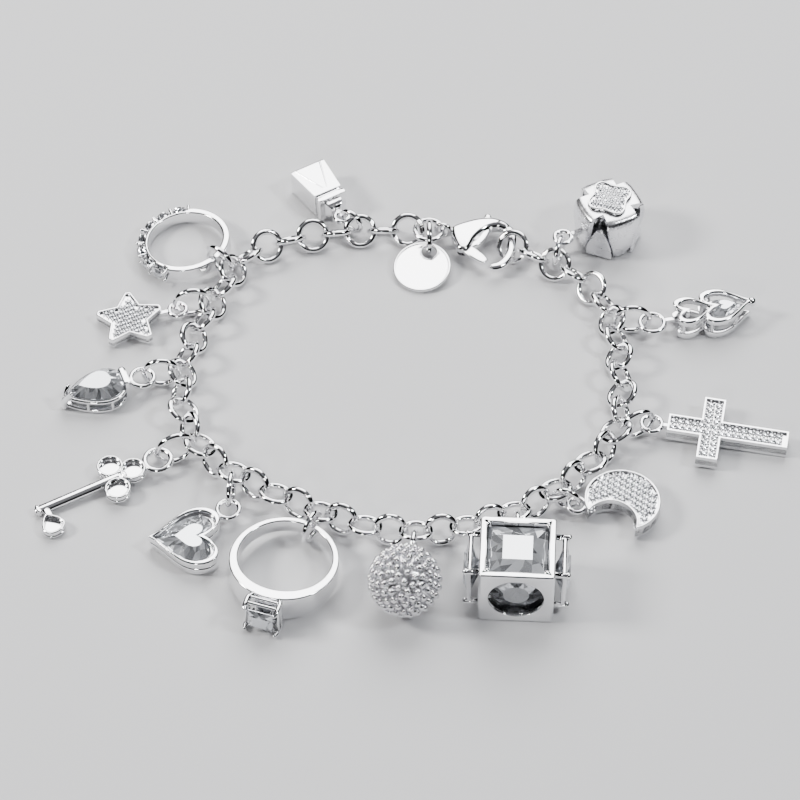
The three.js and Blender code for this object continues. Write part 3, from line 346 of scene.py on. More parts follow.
def scaled(outline: Outline, margin: float) -> Outline:
    """An outline shrunk about the centre of its box by a margin at its widest.

    Args:
        outline: The corners.
        margin: How far its sides come in.

    Returns:
        The new corners.
    """
    xs, ys = [p.x for p in outline], [p.y for p in outline]
    centre = Vector(((min(xs) + max(xs)) / 2, (min(ys) + max(ys)) / 2))
    size = Vector((max(xs) - min(xs), max(ys) - min(ys)))
    share = Vector(((size.x - 2 * margin) / size.x, (size.y - 2 * margin) / size.y))
    return [
        Vector((centre.x + (p.x - centre.x) * share.x, centre.y + (p.y - centre.y) * share.y))
        for p in outline
    ]


def offset(outline: Outline, distance: float) -> Outline:
    """An anticlockwise outline with every side moved inwards by the same distance.

    Args:
        outline: The corners.
        distance: How far each side moves in.

    Returns:
        The new corners.
    """
    count = len(outline)
    result = []
    for k, here in enumerate(outline):
        before = (here - outline[k - 1]).normalized()
        after = (outline[(k + 1) % count] - here).normalized()
        normal = Vector((-before.y - after.y, before.x + after.x))
        if normal.length < 1e-6:
            result.append(here.copy())
            continue
        normal.normalize()
        cosine = max(0.4, normal.dot(Vector((-after.y, after.x))))
        result.append(here + normal * (distance / cosine))
    for _ in range(12):
        turned = [
            k for k in range(count)
            if (result[k] - result[k - 1]).dot(outline[k] - outline[k - 1]) < -1e-9
        ]
        for k in turned:
            middle = (result[k] + result[k - 1]) / 2
            result[k], result[k - 1] = middle, middle.copy()
        if not turned:
            break
    return result


def inside(outline: Outline, point: Vector) -> bool:
    """Whether a point lies inside an outline.

    Args:
        outline: The corners.
        point: The point.

    Returns:
        True if it is inside.
    """
    found = False
    for k, a in enumerate(outline):
        b = outline[k - 1]
        if (a.y > point.y) != (b.y > point.y):
            if point.x < a.x + (b.x - a.x) * (point.y - a.y) / (b.y - a.y):
                found = not found
    return found


def smooth_line(points: Sequence[Sequence[float]], steps: int, closed: bool = False) -> list[np.ndarray]:
    """Points along a smooth line through given points, of any number of columns.

    Args:
        points: The points it goes through.
        steps: How many stretches it has between two of them.
        closed: Whether its end joins its start.

    Returns:
        The points along it.
    """
    rows = [np.array(p, float) for p in points]
    count = len(rows)
    last = count if closed else count - 1
    line = []
    for k in range(last):
        b, c = rows[k], rows[(k + 1) % count]
        a = rows[k - 1] if closed or k else 2 * b - c
        d = rows[(k + 2) % count] if closed or k + 2 < count else 2 * c - b
        for n in range(steps):
            t = n / steps
            bend = (2 * a - 5 * b + 4 * c - d) * t * t + (3 * b - a - 3 * c + d) * t**3
            line.append(b + 0.5 * ((c - a) * t + bend))
    if not closed:
        line.append(rows[-1])
    return line


def lifted(outline: Outline, height: float) -> list[Vector]:
    """An outline at a height.

    Args:
        outline: The corners.
        height: The height.

    Returns:
        The corners in space.
    """
    return [Vector((p.x, p.y, height)) for p in outline]


# Shapes


class Form:
    """A shape under construction, in millimetres in a frame of its own.

    Args:
        frame: Its frame, in the scene's millimetres.
    """

    def __init__(self, frame: Matrix) -> None:
        self.frame = frame
        self.mesh = bmesh.new()

    def loft(
        self, rings: Sequence[Sequence[Vector]], closed: bool = False, smooth: bool = True
    ) -> None:
        """Joins rings of equally many points one after the other.

        Args:
            rings: The rings, each a closed line of points.
            closed: Whether the last ring joins the first; if not, both get a lid.
            smooth: Whether the sides are shaded smooth.
        """
        rows = [[self.mesh.verts.new(p) for p in ring] for ring in rings]
        pairs = list(zip(rows, rows[1:]))
        if closed:
            pairs.append((rows[-1], rows[0]))
        else:
            lids = [self.mesh.faces.new(rows[0][::-1]), self.mesh.faces.new(rows[-1])]
            for lid in lids:
                lid.normal_update()
            bmesh.ops.triangulate(self.mesh, faces=lids)
        for low, high in pairs:
            for k in range(len(low)):
                self.mesh.faces.new((low[k - 1], low[k], high[k], high[k - 1])).smooth = smooth

    def slab(self, outline: Outline, low: float, high: float, edge: float = 0.2, steps: int = 3) -> None:
        """A plate with rounded edges.

        Args:
            outline: Its outline, anticlockwise.
            low: The height of its underside.
            high: The height of its top.
            edge: The radius of its edges.
            steps: How many facets round an edge.
        """
        turns = [math.pi / 2 * k / steps for k in range(steps + 1)]
        under = [(edge * (1 - math.sin(t)), low + edge * (1 - math.cos(t))) for t in turns]
        over = [(edge * (1 - math.cos(t)), high - edge * (1 - math.sin(t))) for t in turns]
        self.loft([lifted(offset(outline, margin), z) for margin, z in under + over])

    def rail(
        self, outer: Outline, inner: Outline, low: float, high: float, edge: float = 0.12, steps: int = 2
    ) -> None:
        """A frame between two outlines with rounded edges.

        Args:
            outer: Its outer outline, anticlockwise.
            inner: Its inner outline, with as many corners.
            low: The height of its underside.
            high: The height of its top.
            edge: The radius of its edges.
            steps: How many facets round an edge.
        """
        turns = [math.pi / 2 * k / steps for k in range(steps + 1)]
        rings = []
        for t in turns:
            rings.append(lifted(offset(outer, edge * (1 - math.cos(t))), high - edge * (1 - math.sin(t))))
        for t in turns:
            rings.append(lifted(offset(inner, -edge * (1 - math.sin(t))), high - edge * (1 - math.cos(t))))
        for t in turns:
            rings.append(lifted(offset(inner, -edge * (1 - math.cos(t))), low + edge * (1 - math.sin(t))))
        for t in turns:
            rings.append(lifted(offset(outer, edge * (1 - math.sin(t))), low + edge * (1 - math.cos(t))))
        self.loft(rings, closed=True)

    def wire(
        self, path: Sequence[Vector], radius: float | Sequence[float], closed: bool = False,
        up: Vector = UP, sides: int = 12, squash: float = 1.0,
    ) -> None:  # fmt: skip
        """A round or oval wire along a path.

        Args:
            path: The points of its centre line.
            radius: Its radius, or its radius at each point.
            closed: Whether its end joins its start.
            up: A direction that is square to the path, or nearly.
            sides: How many facets round the wire.
            squash: Its thickness along up, as a share of its width.
        """
        turns = [2 * math.pi * k / sides for k in range(sides)]
        count = len(path)
        rings = []
        for k, here in enumerate(path):
            before = path[k - 1] if closed or k else here
            after = path[(k + 1) % count] if closed or k + 1 < count else here
            side = (after - before).cross(up).normalized()
            rise = side.cross(after - before).normalized() * squash
            thick = radius if isinstance(radius, float) else float(radius[k])
            rings.append([here + thick * (side * math.cos(t) + rise * math.sin(t)) for t in turns])
        self.loft(rings, closed=closed)

    def hoop(
        self, frame: Matrix, radius: float, wire: float, gap: float = 0.0, steps: int = 40, sides: int = 12
    ) -> None:
        """A ring of wire in the x, y plane of a frame.

        Args:
            frame: The frame.
            radius: The radius of its centre line.
            wire: The radius of its wire.
            gap: The gap between the ends of its wire, at -x, in degrees.
            steps: How many facets round the ring.
            sides: How many facets round the wire.
        """
        start, sweep = math.pi + math.radians(gap / 2), 2 * math.pi - math.radians(gap)
        turns = [start + sweep * k / steps for k in range(steps + (1 if gap else 0))]
        path = [frame @ Vector((radius * math.cos(t), radius * math.sin(t), 0)) for t in turns]
        self.wire(path, wire, closed=not gap, up=frame.to_3x3() @ UP, sides=sides)

    def ball(self, centre: Vector, radius: float, sides: int = 12) -> None:
        """A ball.

        Args:
            centre: Its centre.
            radius: Its radius.
            sides: How many facets round it.
        """
        made = bmesh.ops.create_uvsphere(
            self.mesh, u_segments=sides, v_segments=max(3, sides // 2), radius=radius,
            matrix=Matrix.Translation(centre),
        )  # fmt: skip
        for face in {face for vert in made["verts"] for face in vert.link_faces}:
            face.smooth = True

    def block(self, centre: Sequence[float], size: Sequence[float], edge: float = 0.12) -> None:
        """A box with rounded edges.

        Args:
            centre: Its centre.
            size: Its three sizes.
            edge: The radius of its edges.
        """
        outline = rectangle(size[0], size[1], centre, cut=edge)
        self.slab(outline, centre[2] - size[2] / 2, centre[2] + size[2] / 2, edge, 2)

    def stone(
        self, outline: Outline, low: float, girdle: float, high: float, table: float = 0.55,
        stepped: bool = False,
    ) -> None:  # fmt: skip
        """A cut stone, with a table, a crown, a girdle and a pointed pavilion.

        Args:
            outline: The outline of its girdle.
            low: The height of its point.
            girdle: The height of its girdle.
            high: The height of its table.
            table: The size of its table, as a share of its outline.
            stepped: Whether its facets run in steps beside the girdle, not in triangles.
        """
        xs, ys = [p.x for p in outline], [p.y for p in outline]
        centre = Vector(((min(xs) + max(xs)) / 2, (min(ys) + max(ys)) / 2, 0))
        count = len(outline)

        def ring(share: float, height: float, between: bool = False) -> list[bmesh.types.BMVert]:
            row = []
            for k, p in enumerate(outline):
                q = outline[(k + 1) % count] if between else p
                middle = Vector(((p.x + q.x) / 2, (p.y + q.y) / 2, 0))
                spot = centre + (middle - centre) * (share - (0.1 if between and k % 2 else 0.0))
                row.append(self.mesh.verts.new((spot.x, spot.y, height)))
            return row

        crown, depth = high - girdle, girdle - low
        thin = 0.06 * depth
        flat = not stepped
        rows = [
            (ring(table, high), False),
            (ring(0.5 + 0.5 * table, girdle + 0.62 * crown, flat), flat),
            (ring(1.0, girdle), False),
            (ring(1.0, girdle - thin), False),
            (ring(0.58, girdle - 0.5 * depth, flat), flat),
        ]
        new = self.mesh.faces.new
        new(rows[0][0])
        for (a, a_between), (b, b_between) in zip(rows, rows[1:]):
            for k in range(count):
                n = (k + 1) % count
                if a_between == b_between:
                    new((a[k], b[k], b[n], a[n]))
                elif b_between:
                    new((a[k], b[k], a[n]))
                    new((a[n], b[k], b[n]))
                else:
                    new((a[k], b[n], a[n]))
                    new((a[k], b[k], b[n]))
        point = self.mesh.verts.new((centre.x, centre.y, low))
        last = rows[-1][0]
        for k in range(count):
            new((last[k], point, last[(k + 1) % count]))

    def take(self, other: "Form", place: Matrix) -> None:
        """Adds another shape's faces.

        Args:
            other: The other shape.
            place: Where its frame lies in this shape's frame.
        """
        spots = {vert: self.mesh.verts.new(place @ vert.co) for vert in other.mesh.verts}
        for face in other.mesh.faces:
            self.mesh.faces.new([spots[vert] for vert in face.verts]).smooth = face.smooth

    def piece(self, name: str, finish: Finish, nodes: Sequence[str], body: str = BODY) -> bpy.types.Object:
        """Makes the shape a piece of the scene.

        A vertex past the box of the solids is moved onto the box.

        Args:
            name: The piece's name.
            finish: Its finish.
            nodes: The solids it stands in for.
            body: The body it rides on.

        Returns:
            The piece.
        """
        bmesh.ops.recalc_face_normals(self.mesh, faces=self.mesh.faces)
        for edge in self.mesh.edges:
            edge.smooth = len(edge.link_faces) != 2 or edge.calc_face_angle() < SMOOTH_ANGLE
        self.mesh.transform(self.frame)
        low, high = cad_box()
        for vert in self.mesh.verts:
            vert.co = Vector(np.clip(vert.co, low, high))
        self.mesh.transform(Matrix.Scale(MM, 4))
        data = bpy.data.meshes.new(name)
        self.mesh.to_mesh(data)
        self.mesh.free()
        data.materials.append(finish.material())
        if finish.paints_facet_reflections:
            # Painted reflections: each facet gets one random brightness from the listed levels, in the
            # crystal's tint, standing in for the light and dark a cut stone's facets reflect.
            painted_reflection = data.color_attributes.new("painted_reflection", "FLOAT_COLOR", "CORNER")
            for face in data.polygons:
                reflection_level = random.choice(PAINTED_FACET_REFLECTIONS)
                for corner in face.loop_indices:
                    painted_reflection.data[corner].color = (*(part * reflection_level for part in FACET_TINT), 1.0)
        made = bpy.data.objects.new(name, data)
        bpy.context.scene.collection.objects.link(made)
        if finish.slot is Slot.SILVER:
            weigh(made)
        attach(made, body)
        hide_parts(*nodes)
        return made


def cad_box() -> tuple[np.ndarray, np.ndarray]:
    """The corners of the box that the solids fill.

    Returns:
        Its lowest and highest corner, in millimetres.
    """
    corners = [Vector(corner) / MM for node in NODES.values() for corner in node.bound_box]
    return np.min(corners, axis=0), np.max(corners, axis=0)


def weigh(target: bpy.types.Object) -> None:
    """Shades a piece's broad faces flat and its rounded edges smooth.

    Args:
        target: The piece.
    """
    modifier = target.modifiers.new("shading", "WEIGHTED_NORMAL")
    modifier.keep_sharp = True
    modifier.weight = 100


def carve(target: bpy.types.Object, tool: Form) -> None:
    """Cuts a shape out of a piece.

    Args:
        target: The piece.
        tool: The shape that is cut out of it.
    """
    bmesh.ops.recalc_face_normals(tool.mesh, faces=tool.mesh.faces)
    tool.mesh.transform(Matrix.Scale(MM, 4) @ tool.frame)
    data = bpy.data.meshes.new("tool")
    tool.mesh.to_mesh(data)
    tool.mesh.free()
    cutter = bpy.data.objects.new("tool", data)
    bpy.context.scene.collection.objects.link(cutter)
    target.modifiers.clear()
    modifier = target.modifiers.new("cut", "BOOLEAN")
    modifier.operation = "DIFFERENCE"
    modifier.solver = "EXACT"
    modifier.use_self = True
    modifier.object = cutter
    bpy.context.view_layer.update()
    result = bpy.data.meshes.new_from_object(target.evaluated_get(bpy.context.evaluated_depsgraph_get()))
    target.modifiers.clear()
    target.data = result
    bpy.data.objects.remove(cutter)
    weigh(target)


# Places


def points_of(node: str) -> np.ndarray:
    """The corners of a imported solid.

    Args:
        node: Its name.

    Returns:
        One row of x, y and z in millimetres for each corner.
    """
    return np.array([vert.co for vert in NODES[node].data.vertices], float) / MM


def middle_frame(points: np.ndarray) -> Matrix:
    """The frame at the middle of a flat round solid, with its z square to the solid's plane.

    Args:
        points: The solid's corners.

    Returns:
        The frame, with its x as near to level as can be.
    """
    centre = points.mean(axis=0)
    _, _, rows = np.linalg.svd(points - centre)
    normal = Vector(rows[2]).normalized()
    if normal.z < 0:
        normal = -normal
    level = UP.cross(normal)
    return frame_of(Vector(centre), level if level.length > 1e-3 else Vector((1, 0, 0)), normal)


def frame_of(origin: Vector, x_way: Vector, z_way: Vector) -> Matrix:
    """A frame from its origin, a direction near its x, and its z.

    Args:
        origin: Its origin.
        x_way: A direction, made square to its z for its x.
        z_way: Its z.

    Returns:
        The frame.
    """
    z = z_way.normalized()
    x = (x_way - z * x_way.dot(z)).normalized()
    frame = Matrix((x, z.cross(x), z)).transposed().to_4x4()
    frame.translation = origin
    return frame


def top_way(node: str) -> Vector:
    """Which way the broadest upper face of a flat solid looks.

    Args:
        node: The solid.

    Returns:
        The direction.
    """
    shares: dict[tuple[float, ...], float] = {}
    for face in NODES[node].data.polygons:
        if face.normal.z > 0.9:
            key = tuple(round(v, 3) for v in face.normal)
            shares[key] = shares.get(key, 0.0) + face.area
    return Vector(max(shares, key=shares.get)).normalized()


def charm_frame(node: str, heading: float, loop: float, upright: bool = False) -> Matrix:
    """The frame of a charm that hangs by a loop: the loop's centre, and x towards its body.

    Args:
        node: The charm's solid.
        heading: The heading of its x from above, in degrees.
        loop: The radius of its loop, out to the outer edge of the wire.
        upright: Whether it stands upright and so isn't tilted.

    Returns:
        The frame.
    """
    z = UP if upright else top_way(node)
    turn = math.radians(heading)
    frame = frame_of(Vector(), Vector((math.cos(turn), math.sin(turn), 0)), z)
    points = points_of(node)
    axes = np.array(frame.to_3x3())
    local = points @ axes
    near = local[local[:, 0] < local[:, 0].min() + 0.02].mean(axis=0)
    near[0] = local[:, 0].min() + loop
    frame.translation = Vector(axes @ near)
    return frame


# Chain and rings


@dataclass
class Chain:
    """The chain of round links, laid along its route as the solid is.

    Args:
        radius: The centre-line radius of a link.
        wire: The radius of its wire.
        bite: How far touching links sink into one another in the solid.
        meet: The gap where the two halves of the solid meet.
        roll: How far the links roll over on the near side, in degrees.
    """

    radius: float = 2.08
    wire: float = 0.44
    bite: float = 0.12
    meet: float = 0.25
    roll: float = 24.0
    route: tuple[tuple[float, float], ...] = (
        (20.4, 24.6), (24.3, 22.2), (28.2, 17.6), (30.2, 11.0), (30.6, 4.0), (30.6, -2.6), (29.3, -8.2),
        (26.0, -13.0), (21.6, -17.4), (16.9, -20.9), (10.2, -23.7), (3.2, -24.9), (-3.1, -24.4),
        (-9.0, -22.4), (-14.7, -19.7), (-20.3, -16.4), (-25.9, -12.0), (-29.1, -6.3), (-30.3, 0.4),
        (-29.7, 6.6), (-27.8, 13.0), (-25.4, 18.6), (-22.9, 24.0), (-19.0, 27.2), (-12.4, 29.2),
        (-6.0, 30.1), (1.1, 30.3),
    )  # fmt: skip

    def lean(self, y: float) -> float:
        """How far the links at y roll over.

        Args:
            y: The place across the loop.

        Returns:
            The roll in degrees.
        """
        share = min(1.0, max(0.0, (12 - y) / 28))
        return self.roll * share * share * (3 - 2 * share)

    def height(self, y: float) -> float:
        """The height of the centre of a link.

        Args:
            y: The place across the loop.

        Returns:
            The height.
        """
        return self.radius * math.sin(math.radians(45 + self.lean(y))) + self.wire + 0.05

    def line(self, first: tuple[float, float]) -> np.ndarray:
        """Closely spaced points along the route: a centripetal line through its points.

        Args:
            first: The place of the first link.

        Returns:
            The points, with x and y in columns.
        """
        rows = [np.array(p) for p in (first, *self.route)]
        rows = [2 * rows[0] - rows[1], *rows, 2 * rows[-1] - rows[-2]]
        line = []
        for p0, p1, p2, p3 in zip(rows, rows[1:], rows[2:], rows[3:]):
            d0, d1, d2 = (np.linalg.norm(b - a) ** 0.5 for a, b in ((p0, p1), (p1, p2), (p2, p3)))
            start = ((p1 - p0) / d0 - (p2 - p0) / (d0 + d1) + (p2 - p1) / d1) * d1
            end = ((p2 - p1) / d1 - (p3 - p1) / (d1 + d2) + (p3 - p2) / d2) * d1
            for t in np.arange(0, 1, 0.02):
                bend = (-3 * p1 + 3 * p2 - 2 * start - end) * t**2 + (2 * p1 - 2 * p2 + start + end) * t**3
                line.append(p1 + start * t + bend)
        line.append(rows[-2])
        return np.array(line)

    def links(self, first: tuple[float, float]) -> tuple[list[Matrix], int]:
        """The frames of the links, in the layout's coordinates.

        Args:
            first: The place of the first link.

        Returns:
            The frames, and how many of them belong to the first half.
        """
        line = self.line(first)
        runs = np.concatenate(([0], np.cumsum(np.linalg.norm(np.diff(line, axis=0), axis=1))))
        length = float(runs[-1])
        pitch = 2 * (self.radius - self.wire)
        count = round(length / (pitch + self.bite)) + 1
        step = (length - pitch + self.meet) / (count - 2)
        half = round(count * 0.5)
        frames = []
        for k in range(count):
            run = k * step if k < half else length - (count - 1 - k) * step
            x, y = (float(np.interp(run, runs, line[:, n])) for n in (0, 1))
            ahead = [float(np.interp(run + 0.05, runs, line[:, n])) for n in (0, 1)]
            behind = [float(np.interp(run - 0.05, runs, line[:, n])) for n in (0, 1)]
            along = Vector((ahead[0] - behind[0], ahead[1] - behind[1], 0)).normalized()
            roll = math.radians((45 if k % 2 == 0 else -45) - self.lean(y))
            side = UP.cross(along) * math.cos(roll) + UP * math.sin(roll)
            frames.append(frame_of(Vector((x, y, self.height(y))), along, along.cross(side)))
        return frames, half

    def build(self, clasp: "Clasp") -> None:
        """Makes the two halves of the chain.

        Args:
            clasp: The clasp, which holds the first link.
        """
        ring_x, eye_x = self.tail()
        place = Matrix.Translation(middle_frame(points_of("clasp_ring")).translation)
        place @= Matrix.Translation(-Vector((ring_x, self.route[-1][1], self.height(self.route[-1][1]))))
        turn = math.radians(clasp.heading)
        reach = clasp.bearing - 0.18 - self.wire
        wire = Vector((eye_x + reach * math.cos(turn), self.route[-1][1] + reach * math.sin(turn)))
        first = wire + (Vector(self.route[0]) - wire).normalized() * self.radius
        frames, half = self.links((first.x, first.y))
        for name, part in (("chain_a", frames[:half]), ("chain_b", frames[half:])):
            form = Form(place)
            for frame in part:
                form.hoop(frame, self.radius, self.wire)
            form.piece(f"{name}_links", SILVER, [name])

    def tail(self) -> tuple[float, float]:
        """Where the clasp's ring and its eye follow the last link, along x in the layout.

        Returns:
            The x of the ring's centre and of the eye's centre.
        """
        ring_x = self.route[-1][0] + self.radius + 2.0 - (self.wire + 0.4 + 0.18)
        return ring_x, ring_x + 2.0 - (0.4 + 0.4 + 0.18) + 1.05


def loose_ring(node: str, wire: float = 0.4) -> None:
    """Makes a ring of wire whose ends butt together.

    Args:
        node: The ring's solid.
        wire: The radius of its wire.
    """
    points = points_of(node)
    frame = middle_frame(points)
    flat = (points - points.mean(axis=0)) @ np.array(frame.to_3x3())[:, :2]
    radius = float(np.linalg.norm(flat, axis=1).max())
    form = Form(frame)
    form.hoop(Matrix.Rotation(random.uniform(-0.6, 0.6), 4, "Z"), radius - wire * WIRE_EDGE, wire, gap=2.5)
    form.piece(f"{node}_wire", SILVER, [node])


@dataclass
class Clasp:
    """The lobster clasp, with its eye at the origin of its frame and its hook towards +x.

    Args:
        heading: Its heading, in degrees.
        bearing: Where the inside of its hook bears on the first link.
    """

    heading: float = -15.0
    bearing: float = 9.05
    blade: tuple[tuple[float, float], ...] = (
        (1.15, 0.55), (2.6, 1.95), (4.5, 3.15), (6.3, 3.75), (8.0, 3.6), (9.2, 2.9), (8.9, 1.9),
        (7.4, 2.1), (6.0, 1.1), (5.05, -0.8), (4.75, -2.6), (4.2, -3.6), (3.1, -3.55), (2.1, -2.35),
        (1.25, -0.7),
    )  # fmt: skip
    hook: tuple[tuple[float, float, float], ...] = (
        (7.5, 2.85, 0.75), (8.9, 2.45, 0.85), (9.85, 1.2, 0.78), (10.25, -0.6, 0.74), (10.4, -2.2, 0.74),
        (10.05, -3.7, 0.74), (9.3, -4.75, 0.72), (8.5, -5.15, 0.68),
    )  # fmt: skip
    gate: tuple[tuple[float, float, float], ...] = (
        (3.6, -2.6, 0.9), (5.2, -3.35, 0.8), (6.6, -4.1, 0.7), (7.4, -4.6, 0.42),
    )  # fmt: skip
    arm: tuple[tuple[float, float, float], ...] = (
        (4.4, -2.6, 0.55), (5.5, -1.1, 0.47), (6.05, 0.8, 0.46), (5.9, 2.6, 0.48), (5.55, 3.9, 0.5),
    )  # fmt: skip
    pin: tuple[float, float] = (3.45, -2.45)

    def frame(self) -> Matrix:
        """Its frame: the eye's centre, from the ring beside it.

        Returns:
            The frame.
        """
        ring_x, eye_x = Chain().tail()
        at = middle_frame(points_of("clasp_ring")).translation + Vector((eye_x - ring_x, 0, 0))
        return Matrix.Translation(at) @ Matrix.Rotation(math.radians(self.heading), 4, "Z")

    def strip(self, rows: Sequence[Sequence[float]], extra: float = 0.0) -> Outline:
        """A strip along a smooth line.

        Args:
            rows: The x, y and half width along it.
            extra: How much wider and longer it is.

        Returns:
            Its outline, anticlockwise.
        """
        line = smooth_line(rows, 6)
        sides: tuple[Outline, Outline] = ([], [])
        for k, (x, y, half) in enumerate(line):
            way = line[min(k + 1, len(line) - 1)] - line[max(k - 1, 0)]
            dx, dy = way[:2] / np.hypot(*way[:2])
            end = -extra if k == 0 else extra if k == len(line) - 1 else 0.0
            for side, sign in zip(sides, (-1, 1)):
                spread = sign * (half + extra)
                side.append(Vector((x + end * dx - spread * dy, y + end * dy + spread * dx)))
        return sides[0] + sides[1][::-1]

    def build(self) -> None:
        """Makes the clasp's body, its pin and its lever."""
        frame = self.frame()
        outline = [Vector(p) for p in smooth_line(self.blade, 5, closed=True)][::-1]
        body = Form(frame)
        body.slab(outline, -0.98, 0.98, 0.8, 6)
        path = smooth_line(self.hook, 6)
        body.wire([Vector((x, y, 0)) for x, y, _ in path], [w for _, _, w in path], squash=0.76, sides=16)
        body.ball(Vector((self.hook[-1][0] + 0.05, self.hook[-1][1], 0)), 0.54)
        standing = Matrix.Rotation(math.pi / 2, 4, "X")
        body.hoop(standing, 1.05, 0.38)
        body.block((1.45, 0, 0), (0.8, 0.9, 1.1), 0.2)
        made = body.piece("clasp_case", SILVER, ["clasp_body"])
        room = Form(frame)
        for turn in (0, 14):
            about = Matrix.Translation((*self.pin, 0)) @ Matrix.Rotation(math.radians(turn), 4, "Z")
            about @= Matrix.Translation((-self.pin[0], -self.pin[1], 0))
            swept = Form(frame)
            for rows in (self.gate, self.arm + ((5.5, 5.0, 0.6),)):
                swept.slab(self.strip(rows, 0.2), -0.62, 0.62, 0.02, 1)
            room.take(swept, about)
            swept.mesh.free()
        carve(made, room)
        pin = Form(frame)
        pin.slab(circle(0.42, 24, self.pin), -1.02, 1.02, 0.1)
        pin.piece("clasp_pin", SILVER, ["clasp_body"])
        lever = Form(frame)
        lever.rail(circle(0.95, 24, self.pin), circle(0.6, 24, self.pin), -0.42, 0.42)
        lever.slab(self.strip(((4.3, -2.85, 0.75),) + self.gate[1:]), -0.42, 0.42, 0.14)
        lever.slab(self.strip(((4.3, -2.4, 0.4),) + self.arm[1:]), -0.42, 0.42, 0.14)
        lever.wire(
            [Vector((5.7, 3.5, 0)), Vector((5.6, 4.0, 0)), Vector((5.5, 4.35, 0))], [0.46, 0.62, 0.5],
            squash=0.66,
        )  # fmt: skip
        lever.piece("clasp_gate", SILVER, ["clasp_lever"], LEVER)


@dataclass
class Tag:
    """The bare round tag, a thin disc with a raised rim.

    Args:
        radius: Its radius.
        thick: Its thickness.
        hole: The radius of its hole.
    """

    radius: float = 4.1
    thick: float = 0.6
    hole: float = 1.1

    def build(self) -> None:
        """Makes the tag."""
        points = points_of("tag")
        z = top_way("tag")
        ring = middle_frame(points_of("tag_ring")).translation
        flat_points = points - points.mean(axis=0)
        axes = np.array(frame_of(Vector(), Vector((0, -1, 0)), z).to_3x3())
        local = flat_points @ axes
        rim = local[np.hypot(local[:, 0], local[:, 1]) > 0.8 * self.radius]
        middle = Vector(points.mean(axis=0) + axes @ ((rim.max(axis=0) + rim.min(axis=0)) / 2))
        inner = np.hypot(*(local - rim.mean(axis=0))[:, :2].T) < 0.8 * self.radius
        hole = Vector(local[inner].mean(axis=0))
        hole_at = Vector(points.mean(axis=0) + axes @ np.array(hole))
        frame = frame_of(middle, hole_at - middle if (hole_at - middle).length > 0.5 else ring - middle, z)
        reach = self.radius - 0.35 - self.hole
        half = self.thick / 2
        form = Form(frame)
        outer, bore = circle(self.radius, 72), circle(self.hole, 72, (reach, 0))
        form.rail(outer, bore, -half, half - 0.08, 0.06)
        form.rail(circle(self.radius - 0.01, 72), circle(self.radius - 0.34, 72), 0, half, 0.1)
        form.rail(circle(self.hole + 0.24, 40, (reach, 0)), circle(self.hole, 40, (reach, 0)), 0, half, 0.08)
        form.piece("tag_disc", SILVER, ["tag"])


# Charms


def at(x: float, y: float, z: float = 0.0) -> Vector:
    """A point.

    Args:
        x: Its x.
        y: Its y.
        z: Its z.

    Returns:
        The point.
    """
    return Vector((x, y, z))


def facing(frame: Matrix, place: Vector, way: Vector, turn: float = 0.0) -> Matrix:
    """A frame at a place with its z along a direction.

    Args:
        frame: The frame that the place and the direction are given in.
        place: The place of its origin.
        way: The direction of its z.
        turn: How far it is turned about its z, in degrees.

    Returns:
        The frame, in the same coordinates as the given one.
    """
    side = UP if abs(way.z) < 0.9 else Vector((1, 0, 0))
    return frame @ frame_of(place, side, way) @ Matrix.Rotation(math.radians(turn), 4, "Z")


@dataclass
class Pave:
    """A field of small round stones held by grains of metal.

    Args:
        stone: The radius of a stone.
        pitch: The distance between the middles of two stones.
        grain: The radius of a grain.
    """

    stone: float = 0.45
    pitch: float = 0.98
    grain: float = 0.17

    def rows(self, outline: Outline, origin: Sequence[float] = (0.0, 0.0), turn: float = 0.0) -> list[Vector]:
        """Places for stones inside an outline, in staggered rows.

        Args:
            outline: The outline that the stones stay inside.
            origin: The middle of one of the stones.
            turn: How far the rows are turned, in radians.

        Returns:
            The places.
        """
        room = offset(outline, 0.72 * self.stone)
        places = []
        for row in range(-14, 15):
            for column in range(-14, 15):
                x = self.pitch * (column + 0.5 * (row % 2))
                y = self.pitch * 0.866 * row
                spot = moved([Vector((x, y))], origin[0], origin[1], turn)[0]
                if inside(room, spot):
                    places.append(spot)
        return places

    def build(self, name: str, frame: Matrix, places: Iterable[Vector], level: float, node: str) -> None:
        """Makes the stones and the grains between them.

        Args:
            name: The start of the pieces' names.
            frame: The charm's frame.
            places: The middles of the stones.
            level: The height of the stones' girdles.
            node: The solid they dress.
        """
        gems, grains = Form(frame), Form(frame)
        taken: list[Vector] = []
        for place in places:
            gems.stone(circle(self.stone, 8, place), level - 0.35, level, level + 0.16, 0.5)
            for k in range(6):
                turn = math.pi / 6 + k * math.pi / 3
                spot = place + Vector((math.cos(turn), math.sin(turn))) * self.pitch * 0.577
                if all((spot - other).length > 1.6 * self.grain for other in taken):
                    taken.append(spot)
                    grains.ball(at(spot.x, spot.y, level + 0.04), self.grain, 6)
        gems.piece(f"{name}_gems", CRYSTAL, [node])
        grains.piece(f"{name}_grains", GRAINED, [node])


